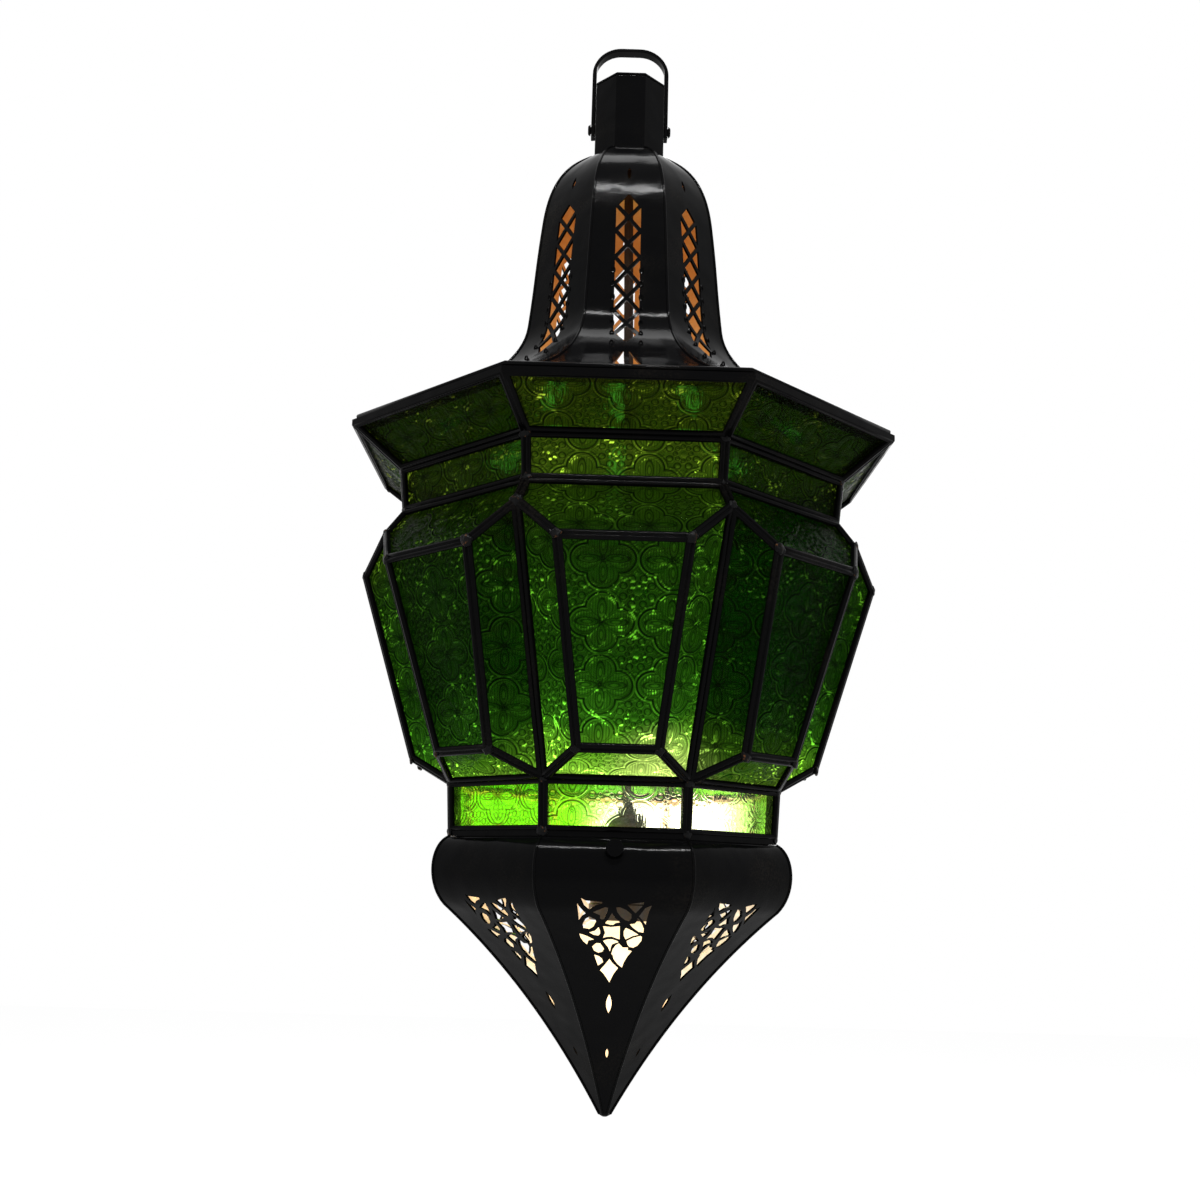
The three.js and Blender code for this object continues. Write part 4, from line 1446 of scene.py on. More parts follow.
@dataclass(frozen=True)
class PressedPattern(Ornament):
    """The relief that is rolled into the glass, with a beaded rosette between every four ornaments."""

    outer_ring: float = 6.5
    stray_ring: float = 9.3
    petal_half: float = 1.9
    petal_tall: float = 5.2
    eye_reach: float = 8.2
    eye_radius: float = 2.7
    collar_ring: float = 8.2
    centre_radius: float = 1.5
    slope_reach: float = 0.25

    HEIGHTS = {
        "outline": 0.55,
        "inner": 0.34,
        "petals": 0.4,
        "eyes": 0.3,
        "beads": 0.55,
        "collar": 0.28,
        "middle": 0.3,
    }

    def at(self, across: np.ndarray, up: np.ndarray) -> np.ndarray:
        """Measures the pattern.

        Args:
            across: places across the pane in millimetres.
            up: places up the pane.

        Returns:
            Height in millimetres.
        """
        a = across * self.unit / self.pitch_across
        b = up * self.unit / self.pitch_down
        cu = np.abs(a - self.unit * np.round(a / self.unit))
        cv = np.abs(b - self.unit * np.round(b / self.unit))
        lobes = np.minimum(np.hypot(cu - self.lobe, cv), np.hypot(cu, cv - self.lobe)) - self.lobe
        along, beside = self.petal_tall, self.petal_half
        tall = np.clip(1 - (cu / beside) ** 2 - ((cv - self.petal_reach) / along) ** 2, 0, 1)
        wide = np.clip(1 - (cv / beside) ** 2 - ((cu - self.petal_reach) / along) ** 2, 0, 1)
        ru = a - self.unit * (np.floor(a / self.unit) + 0.5)
        rv = b - self.unit * (np.floor(b / self.unit) + 0.5)
        radius = np.hypot(ru, rv)
        angle = np.arctan2(rv, ru)
        outer_beads = dots(radius, angle, self.outer_ring, 1.25, self.beads, np.pi / self.beads)
        inner_beads = dots(radius, angle, self.inner_ring, 0.85, self.beads, 0.0)
        strays = dots(radius, angle, self.stray_ring, 0.6, 2 * self.beads, 0.1) * (lobes > 0.8)
        centre = np.clip(1 - (radius / self.centre_radius) ** 2, 0, 1)
        waved = self.collar_ring + 0.5 * np.cos(self.beads * angle)
        drawn = {
            "outline": ridge(lobes, 0.5),
            "inner": ridge(lobes + 1.5, 0.42),
            "petals": np.sqrt(np.maximum(tall, wide)),
            "eyes": ridge(np.hypot(cu - self.eye_reach, cv) - self.eye_radius, 0.45),
            "beads": np.sqrt(np.maximum.reduce([outer_beads, inner_beads, strays, centre])),
            "collar": ridge(radius - waved, 0.35) * (lobes > 0.4),
            "middle": ridge(np.hypot(cu, cv) - self.centre_radius, 0.45),
        }
        return np.maximum.reduce([height * drawn[name] for name, height in self.HEIGHTS.items()])

    def slopes(self, across: np.ndarray, up: np.ndarray) -> tuple[np.ndarray, np.ndarray]:
        """Measures how steeply the relief rises.

        Args:
            across: places across the pane in millimetres.
            up: places up the pane.

        Returns:
            The slope across and the slope up.
        """
        reach = self.slope_reach
        rise_across = self.at(across + reach, up) - self.at(across - reach, up)
        rise_up = self.at(across, up + reach) - self.at(across, up - reach)
        return rise_across / (2 * reach), rise_up / (2 * reach)


@dataclass
class PaneWork:
    """All the panes of the lantern, each cut from pressed glass with the pattern where it fell.

    The painted glow and painted glints differ from side to side and from facet to facet, as the bulb hangs off
    the axis.
    """

    skeleton: Skeleton
    glass: bpy.types.Material
    strip: bpy.types.Material
    cell: float = 0.72
    edge: float = 1.7
    depth: float = 1.5
    thickness: float = 2.2
    pattern: PressedPattern = PressedPattern()
    bulb: Place = LIGHT_CENTRE
    # Painted glare on the lit strip's front and rear panes, and each side's painted glow level, set by how the
    # off-axis bulb lights it.
    front_glare: float = 0.02
    rear_glare: float = 2.5
    glow_levels: tuple[float, ...] = (1.0, 0.14, 0.6, 0.95, 1.0, 0.8, 0.85, 0.42)
    front_start: Point = (8.5, 20.0)
    strays: Point = (11.7, 7.9)
    plain_share: float = 0.36
    facing_share: float = 0.90
    away_share: float = 0.30
    slope_gain: float = 1.5
    wave: float = 0.10
    sharp: float = 62.0

    # Painted glow lifts of the facets on the front and on the other sides, painted glow levels on the rear, and
    # each facet's painted glints.
    FRONT_GLOW_LIFTS = {"band": 1.7, "foot": 1.15, "roof": 0.75}
    OTHER_GLOW_LIFTS = {"band": 0.8, "flare": 0.4, "roof": 0.8}
    REAR_GLOW_LEVELS = {"foot": 3.5, "base": 4.5}
    GLINTS = {"band": 2.2, "flare": 2.0, "roof": 1.5}
    # Relief of each pane's back: a share of the painted glow, with no painted glints and no painted glare.
    BACK_SKIN = (0.3, 0.0, 0.0, 1.0)
    REPLACED = {"flare": "flare_pane", "band": "band_pane", "panel": "face_glass", "base": "base_pane"}

    def offsets(self, facet: Facet, side: int) -> Point:
        """Where the pattern starts on a pane, in millimetres.

        Args:
            facet: the pane's facet.
            side: the lantern's side.

        Returns:
            Shift across and up.
        """
        if side == 0 and facet.name == "panel":
            return self.front_start
        step = (side + 1) * (len(facet.name) + 0.37)
        across, up = self.strays
        return (step * across) % self.pattern.pitch_across, (step * up + 6.0) % self.pattern.pitch_down

    @staticmethod
    def quads(corners: list[Vector]) -> list[list[Vector]]:
        """Splits a facet in rows of four-cornered parts, from its foot up.

        Args:
            corners: four or six corners; a six-cornered facet is split at its widest level.

        Returns:
            Parts as lower left, lower right, upper right, upper left.
        """
        if len(corners) == 4:
            return [corners]
        lower_left, lower_right, mid_right, upper_right, upper_left, mid_left = corners
        lower = [lower_left, lower_right, mid_right, mid_left]
        upper = [mid_left, mid_right, upper_right, upper_left]
        return [lower, upper]

    def grid(self, corners: list[Vector]) -> tuple[np.ndarray, int, int]:
        """Spreads a grid of points over a facet.

        Args:
            corners: the pane's corners.

        Returns:
            The points row by row, and the number of columns and rows.
        """
        parts = self.quads(corners)
        widest = max((part[1] - part[0]).length for part in parts + [[parts[-1][3], parts[-1][2]]])
        columns = max(4, math.ceil(widest / (self.cell * MM)))
        rows = []
        for number, (a, b, c, d) in enumerate(parts):
            tall = max((d - a).length, (c - b).length)
            steps = max(3, math.ceil(tall / (self.cell * MM)))
            for step in range(1 if number else 0, steps + 1):
                t = step / steps
                left, right = np.array(a.lerp(d, t)), np.array(b.lerp(c, t))
                share = np.linspace(0.0, 1.0, columns + 1)[:, None]
                rows.append(left * (1 - share) + right * share)
        return np.concatenate(rows), columns + 1, len(rows)

    def glow_level(self, facet: Facet, side: int) -> float:
        """How bright a pane's painted glow is beside its neighbours.

        Args:
            facet: the pane's facet.
            side: the lantern's side.

        Returns:
            What the glow is multiplied by.
        """
        if side in REAR_SIDES and facet.name in self.REAR_GLOW_LEVELS:
            return self.REAR_GLOW_LEVELS[facet.name]
        lifts = self.OTHER_GLOW_LIFTS if side else self.FRONT_GLOW_LIFTS
        return self.glow_levels[side] * lifts.get(facet.name, 1.0)

    def glare_strength(self, facet: Facet, side: int) -> float:
        """How bright the painted glare is on a pane.

        The lit strip has it on the rear sides, so that the lead in front of it shows black.

        Args:
            facet: the pane's facet.
            side: the lantern's side.

        Returns:
            What the glare's colour is multiplied by.
        """
        if facet.name == "base":
            return self.rear_glare if side in REAR_SIDES else self.front_glare
        return self.glow_level(facet, side)

    def lighting(
        self, facet: Facet, points: np.ndarray, u: np.ndarray, v: np.ndarray
    ) -> tuple[np.ndarray, np.ndarray]:
        """Works out the painted shading and glints with which the relief catches the bulb's light.

        Args:
            facet: the pane's facet.
            points: places on the pane, in metres.
            u: the same places across the pattern, in millimetres.
            v: and up it.

        Returns:
            Share of the glow let through, and how far each place faces the bulb, from 0 to 1.
        """
        across, up = facet.axes()
        ray = np.array(self.bulb) - points
        ray /= np.linalg.norm(ray, axis=1)[:, None]
        rise_across, rise_up = self.pattern.slopes(u, v)
        tilt = -(rise_across * (ray @ np.array(across)) + rise_up * (ray @ np.array(up)))
        facing = np.clip(tilt * self.slope_gain, 0, 1)
        away = np.clip(-tilt * self.slope_gain, 0, 1)
        share = np.clip(self.plain_share + self.facing_share * facing - self.away_share * away, 0, 1)
        return share, facing * self.GLINTS.get(facet.name, 1.0)

    @staticmethod
    def slab(numbers: np.ndarray) -> tuple[np.ndarray, list[list[int]]]:
        """Closes a grid of points to a slab, whose back is one face.

        Args:
            numbers: the front's vertex numbers, row by row.

        Returns:
            The front's border, which the back repeats, and all the faces.
        """
        border = np.concatenate([numbers[0, :], numbers[1:, -1], numbers[-1, -2::-1], numbers[-2:0:-1, 0]])
        around = [numbers[:-1, :-1], numbers[:-1, 1:], numbers[1:, 1:], numbers[1:, :-1]]
        quads = np.stack([corner.ravel() for corner in around], axis=1)
        first, count = numbers.size, len(border)
        following = np.roll(np.arange(count), -1)
        walls = np.stack([border[following], border, first + np.arange(count), first + following], axis=1)
        back = list(range(first + count - 1, first - 1, -1))
        return border, [*quads.tolist(), *walls.tolist(), back]

    @staticmethod
    def mark(mesh: bpy.types.Mesh, across_and_up: np.ndarray, relief: np.ndarray, glow_level: float) -> None:
        """Writes on a pane what the glass's shader reads.

        Args:
            mesh: the pane's mesh.
            across_and_up: where each vertex lies in the pattern, in millimetres.
            relief: its share of the painted glow, how far it faces the bulb for painted glints, and its painted
                glare.
            glow_level: how bright the pane's painted glow is.
        """
        corners = np.zeros(len(mesh.loops), np.int32)
        mesh.loops.foreach_get("vertex_index", corners)
        mesh.uv_layers.new(name="across_and_up").data.foreach_set("uv", across_and_up[corners].ravel())
        colours = mesh.attributes.new("relief", "FLOAT_COLOR", "POINT")
        colours.data.foreach_set("color", relief.astype(np.float32).ravel())
        glow_levels = mesh.attributes.new("glow_level", "FLOAT", "POINT")
        glow_levels.data.foreach_set("value", np.full(len(mesh.vertices), glow_level, np.float32))

    def pane(self, facet: Facet, side: int, name: str) -> bpy.types.Object:
        """Cuts and presses one pane.

        Args:
            facet: the facet of the front side.
            side: the lantern's side that it goes to.
            name: the pane's name.

        Returns:
            The pane as one closed slab.
        """
        corners = facet.inset(self.edge * MM, -self.depth * MM)
        points, columns, rows = self.grid(corners)
        across, up = facet.axes()
        middle = sum(corners, Vector()) / len(corners)
        local = points - np.array(middle)
        shift = self.offsets(facet, side)
        u = local @ np.array(across) / MM + shift[0]
        v = local @ np.array(up) / MM + shift[1]
        lit, facing = self.lighting(facet, points, u, v)
        waves = self.wave * np.sin(u * 0.21 + side) * np.cos(v * 0.17 + 2 * side)
        normal = np.array(facet.normal)
        front = points + np.outer((self.pattern.at(u, v) + waves) * MM, normal)
        border, faces = self.slab(np.arange(rows * columns).reshape(rows, columns))
        back = points[border] - self.thickness * MM * normal
        piece = Bench.from_points(name, np.concatenate([front, back]).tolist(), faces)
        mesh = piece.data
        pattern_place = np.stack([np.concatenate([u, u[border]]), np.concatenate([v, v[border]])], axis=1)
        glare_strength = np.full_like(lit, self.glare_strength(facet, side))
        seen = np.stack([lit, facing, glare_strength, np.ones_like(lit)], axis=1)
        relief = np.concatenate([seen, np.tile(self.BACK_SKIN, (len(border), 1))])
        self.mark(mesh, pattern_place, relief, self.glow_level(facet, side))
        mesh.shade_smooth()
        mesh.set_sharp_from_angle(angle=math.radians(self.sharp))
        mesh.transform(Matrix.Rotation(side * SIDE_TURN, 4, "Z"))
        return piece

    def build(self) -> None:
        """Makes every pane of every side."""
        for side in range(SIDES):
            for facet in self.skeleton.facets:
                piece = self.pane(facet, side, f"{facet.name}_pane_of_side_{side + 1}")
                node = self.REPLACED.get(facet.name)
                replaced = [f"{node}_{side + 1}"] if node else []
                glass = self.strip if facet.name == "base" else self.glass
                Bench.fit_out(piece, glass, Body.LANTERN, Slot.GLASS, *replaced)
        log.info("panes: %d", SIDES * len(self.skeleton.facets))


# Came bars and solder


@dataclass
class CameWork:
    """Rounded half-came round every pane, so that two of them make a bar with a groove."""

    skeleton: Skeleton
    enamel: bpy.types.Material
    solder: bpy.types.Material
    blob_radius: float = 2.6
    rim_drop_inset: float = 2.6
    blob_lumps: float = 0.16
    blob_flatness: float = 0.42
    pieces_per_edge: int = 6
    seed: int = 7

    GROUPS = {
        "crown": ("flare", "band"),
        "face": ("roof", "panel", "left", "right", "foot"),
        "base": ("base",),
    }
    PROFILE = ((0.12, -1.0), (0.12, 0.62), (0.45, 1.05), (1.25, 1.25), (2.05, 1.0), (2.55, 0.5), (2.6, -1.0))

    def ring(self, facet: Facet, name: str) -> bpy.types.Object:
        """Sweeps the half-came round one facet.

        Args:
            facet: the facet.
            name: the ring's name.

        Returns:
            The ring, closed.
        """
        loops = [facet.inset(inset * MM, rise * MM) for inset, rise in self.PROFILE]
        count = len(facet.corners)
        points = []
        for loop in loops:
            for i in range(count):
                start, end = loop[i], loop[(i + 1) % count]
                points += [start.lerp(end, k / self.pieces_per_edge) for k in range(self.pieces_per_edge)]
        around = count * self.pieces_per_edge
        faces = []
        for k in range(len(loops)):
            near, far = k * around, ((k + 1) % len(loops)) * around
            for i in range(around):
                j = (i + 1) % around
                faces.append([near + i, near + j, far + j, far + i])
        return Bench.from_points(name, points, faces)

    def blob_places(self) -> list[Vector]:
        """Finds where bars meet on the front side and its right-hand corner.

        Returns:
            The places, in metres.
        """
        roof = self.skeleton.facet("roof").corners
        panel = self.skeleton.facet("panel").corners
        flare = self.skeleton.facet("flare").corners
        base = self.skeleton.facet("base").corners
        inner = Vector((self.rim_drop_inset * MM, 0.0, 0.0))
        rim = flare[2] - Matrix.Rotation(CORNER - math.pi / 2, 3, "Z") @ inner
        return [*roof[2:4], *panel, flare[1], rim, base[1], base[2]]

    def blobs(self, side: int, chance: random.Random) -> bpy.types.Object:
        """Drops solder on the joints of one side.

        Args:
            side: the lantern's side.
            chance: where the irregularity comes from.

        Returns:
            The side's blobs as one piece.
        """
        drops = []
        for place in self.blob_places():
            bpy.ops.object.select_all(action="DESELECT")
            bpy.ops.mesh.primitive_ico_sphere_add(subdivisions=3, radius=1.0)
            drop = bpy.context.object
            size = self.blob_radius * MM * chance.uniform(0.8, 1.15)
            for vertex in drop.data.vertices:
                lump = math.sin(5 * vertex.co.x + side) * math.sin(4 * vertex.co.y + size * 900)
                vertex.co *= 1 + self.blob_lumps * lump
            outward = Vector((place.x, place.y, 0.0)).normalized()
            long = size * chance.uniform(0.95, 1.3)
            flatten = Matrix.Diagonal((long, size, size * self.blob_flatness, 1.0))
            tilt = outward.to_track_quat("Z", "Y").to_matrix().to_4x4()
            spin = Matrix.Rotation(chance.uniform(0, math.tau), 4, "Z")
            drop.data.transform(Matrix.Translation(place) @ tilt @ spin @ flatten)
            drops.append(drop)
        piece = Bench.joined(drops, f"solder_drops_{side + 1}")
        piece.data.transform(Matrix.Rotation(side * SIDE_TURN, 4, "Z"))
        Bench.smooth(piece, 80)
        return piece

    def build(self) -> None:
        """Makes the came of every side, and the drops of solder."""
        for group, names in self.GROUPS.items():
            rings = [self.ring(self.skeleton.facet(name), name) for name in names]
            front = Bench.joined(rings, f"{group}_came_1")
            Bench.smooth(front, 50)
            for piece in Bench.all_round(front, f"{group}_came"):
                Bench.fit_out(piece, self.enamel, Body.LANTERN, Slot.TIN)
        chance = random.Random(self.seed)
        for side in range(SIDES):
            Bench.fit_out(self.blobs(side, chance), self.solder, Body.LANTERN, Slot.TIN)
        log.info("came rings: %d sides", SIDES)


# Gored sheet work of the roof and the dome


def bezier(a: Point, b: Point, c: Point, d: Point, steps: int) -> list[Point]:
    """Points along a cubic curve.

    Args:
        a: start.
        b: first handle.
        c: second handle.
        d: end.
        steps: number of spans.

    Returns:
        The points, both ends included.
    """
    points = []
    for k in range(steps + 1):
        t = k / steps
        s = 1 - t
        weights = (s**3, 3 * s * s * t, 3 * s * t * t, t**3)
        points.append(tuple(sum(w * p[i] for w, p in zip(weights, (a, b, c, d))) for i in range(2)))
    return points


def leaf(middle: float, half: float, tall: float) -> list[Point]:
    """A slit shaped like a narrow leaf.

    Args:
        middle: level of its middle, in millimetres.
        half: half its width.
        tall: half its height.

    Returns:
        The slit's outline.
    """
    steps = [k / 5 for k in range(-5, 6)]
    right = [(half * (1 - t * t), middle + tall * t) for t in steps]
    left = [(-x, z) for x, z in right[-2:0:-1]]
    return right + left


class GoredShell:
    """A shell of eight sheet gores with pierced openings, soldered along its corners.

    Each kind gives its name, the node that its gores replace, its body, and the radius of its seams.
    """

    NAME: str
    NODE: str
    BODY: Body
    COLUMNS = 26
    WALL = 1.2
    CUT_FROM = 2.0
    CUT_TO = 160.0

    enamel: bpy.types.Material
    inside: bpy.types.Material
    seam: float

    def profile(self) -> list[Point]:
        """Corner radius and level of the shell from its top down, in millimetres."""
        raise NotImplementedError

    def openings(self) -> list[list[Point]]:
        """Outlines cut out of each gore, as x and z in millimetres."""
        raise NotImplementedError

    def gore(self, name: str) -> bpy.types.Object:
        """Bends and pierces the front gore.

        Args:
            name: the gore's name.

        Returns:
            The gore, with its inner face on the second material.
        """
        profile = self.profile()
        points = []
        for radius, z in profile:
            half = radius * math.sin(CORNER)
            for k in range(self.COLUMNS + 1):
                x = half * (2 * k / self.COLUMNS - 1)
                points.append((x * MM, -radius * FLAT * MM, z * MM))
        faces = []
        wide = self.COLUMNS + 1
        for row in range(len(profile) - 1):
            for k in range(self.COLUMNS):
                a = row * wide + k
                faces.append([a + wide, a + wide + 1, a + 1, a])
        sheet = Bench.from_points(name, points, faces)
        thick = sheet.modifiers.new("sheet", "SOLIDIFY")
        thick.thickness = self.WALL * MM
        thick.offset = -1.0
        # The inner face takes the second material: bare tin with the bulb's light painted on it as a glow.
        thick.material_offset = 1
        sheet.data.materials.append(None)
        sheet.data.materials.append(None)
        Bench.apply_all(sheet)
        Bench.cut(sheet, Bench.prisms("cutters", self.openings(), self.CUT_FROM, self.CUT_TO))
        Bench.smooth(sheet, 30)
        return sheet

    def corner_path(self) -> list[Vector]:
        """The line of the corner on the right of the front side, in metres."""
        return [Vector((radius * math.sin(CORNER), -radius * FLAT, z)) * MM for radius, z in self.profile()]

    def octagon(self, radius: float, z: float) -> list[Vector]:
        """The corners of a level ring, in metres."""
        angles = [(k + 0.5) * SIDE_TURN for k in range(SIDES)]
        return [Vector((radius * math.cos(a), radius * math.sin(a), z)) * MM for a in angles]

    def hem(self, name: str, radius: float, z: float, wire: float) -> None:
        """Rolls a hem along a level ring.

        Args:
            name: the hem's name.
            radius: corner radius of the ring, in millimetres.
            z: its level.
            wire: radius of the hem itself.
        """
        piece = Bench.rod(name, self.octagon(radius, z), wire * MM, True)
        Bench.smooth(piece, 60)
        Bench.fit_out(piece, self.enamel, self.BODY, Slot.TIN)

    def raise_shell(self) -> None:
        """Makes the gores, the first of which stands for the whole node, and the seams at their corners."""
        gores = Bench.all_round(self.gore(f"{self.NAME}_gore_1"), f"{self.NAME}_gore")
        for piece in gores:
            nodes = [self.NODE] if piece is gores[0] else []
            Bench.fit_out(piece, [self.enamel, self.inside], self.BODY, Slot.TIN, *nodes)
        seam = Bench.rod(f"{self.NAME}_seam_1", self.corner_path(), self.seam * MM)
        Bench.smooth(seam, 60)
        for piece in Bench.all_round(seam, f"{self.NAME}_seam"):
            Bench.fit_out(piece, self.enamel, self.BODY, Slot.TIN)
        log.info("%s: %d gores", self.NAME, len(gores))


@dataclass
class PiercedRoof(GoredShell):
    """The bell-shaped roof with its flared skirt and a laced column in every side."""

    skeleton: Skeleton
    enamel: bpy.types.Material
    inside: bpy.types.Material
    height: float = 181.0
    throat: float = 23.0
    waist: float = 51.0
    waist_rise: float = 130.0
    hip: float = 57.0
    hip_rise: float = 70.0
    eave: float = 147.0
    eave_rise: float = 4.0
    eave_wire: float = 1.5
    seam: float = 0.75
    column_half: float = 6.7
    bar: float = 2.0
    pitch: float = 16.0
    first_crossing: float = 124.0
    crossings: int = 5
    leaf_rise: float = 152.5
    leaf_size: Point = (1.1, 4.2)
    foot_slot: Point = (18.0, 38.0)
    foot_slot_half: float = 8.0
    curl_radius: float = 1.3
    curl_wire: float = 0.5
    curl_gap: float = 0.8
    curl_start: int = 4

    NAME = "roof"
    NODE = "pierced_roof"
    BODY = Body.LANTERN
    CURL_STRETCH = (0.75, 1.0, 1.25)

    def profile(self) -> list[Point]:
        """Draws the bell from its throat to its eave.

        Returns:
            Corner radius and level of each point.
        """
        rim = self.skeleton.rim / MM
        bow = (self.hip - self.waist) / 2
        throat = (self.throat, rim + self.height)
        waist = (self.waist, rim + self.waist_rise)
        hip = (self.hip, rim + self.hip_rise)
        eave = (self.eave, rim + self.eave_rise)
        out_of_throat = (throat[0] + 15, throat[1] - 9)
        over_waist, under_waist = (waist[0] - bow, waist[1] + 30), (waist[0] + bow, waist[1] - 25)
        over_hip, under_hip = (hip[0] - bow, hip[1] + 25), (hip[0] + bow, hip[1] - 24)
        before_eave = (eave[0] - 52, rim + 20)
        shoulder = bezier(throat, out_of_throat, over_waist, waist, 18)
        flank = bezier(waist, under_waist, over_hip, hip, 12)
        skirt = bezier(hip, under_hip, before_eave, eave, 22)
        return [*shoulder, *flank[1:], *skirt[1:]]

    def openings(self) -> list[list[Point]]:
        """Draws the laced column, the leaf slit over it and the two slots at its foot.

        Returns:
            The outlines.
        """
        rim = self.skeleton.rim / MM
        slope = math.atan2(self.pitch / 2, self.column_half)
        gap_z = self.bar / 2 / math.cos(slope)
        gap_x = self.bar / 2 / math.sin(slope)
        wide = self.column_half - gap_x
        tall = self.pitch / 2 - gap_z
        shapes = []
        for k in range(self.crossings + 1):
            level = rim + self.first_crossing - k * self.pitch
            middle = level + self.pitch / 2
            shapes.append([(-wide, middle), (0, middle - tall), (wide, middle), (0, middle + tall)])
            if k < self.crossings:
                for side in (-1, 1):
                    edge = side * self.column_half
                    shapes.append([(edge, level - tall), (edge, level + tall), (side * gap_x, level)])
        shapes.append(leaf(rim + self.leaf_rise, *self.leaf_size))
        slot_foot, slot_top = (rim + rise for rise in self.foot_slot)
        for side in (-1, 1):
            inner, outer = side * gap_x, side * self.foot_slot_half
            shapes.append([(inner, slot_top), (inner, slot_foot), (outer, slot_foot)])
        return shapes

    def curls(self) -> bpy.types.Object:
        """Bends the small oval rings of metal that the punch turned up beside the lower crossings.

        Returns:
            The front side's curls as one piece.
        """
        rim = self.skeleton.rim / MM
        radii, levels = zip(*reversed(self.profile()))
        rings = []
        for half_pitch in range(self.curl_start, 2 * self.crossings + 1):
            level = rim + self.first_crossing - half_pitch * self.pitch / 2
            depth = np.interp(level, levels, radii) * FLAT
            for side in (-1, 1):
                bpy.ops.mesh.primitive_torus_add(
                    location=(side * (self.column_half + self.curl_gap) * MM, -depth * MM, level * MM),
                    rotation=(math.pi / 2, 0.0, 0.0),
                    major_segments=10,
                    minor_segments=5,
                    major_radius=self.curl_radius * MM,
                    minor_radius=self.curl_wire * MM,
                )
                bpy.ops.transform.resize(value=self.CURL_STRETCH)
                bpy.ops.object.transform_apply(location=True, rotation=True, scale=True)
                rings.append(bpy.context.object)
        return Bench.joined(rings, "punched_curls_1")

    def build(self) -> None:
        """Makes the roof's gores, corner seams, curls and rolled eave."""
        self.raise_shell()
        curls = self.curls()
        Bench.smooth(curls, 60)
        for piece in Bench.all_round(curls, "punched_curls"):
            Bench.fit_out(piece, self.enamel, self.BODY, Slot.TIN)
        self.hem("rolled_eave", self.eave, self.skeleton.rim / MM + self.eave_rise, self.eave_wire)


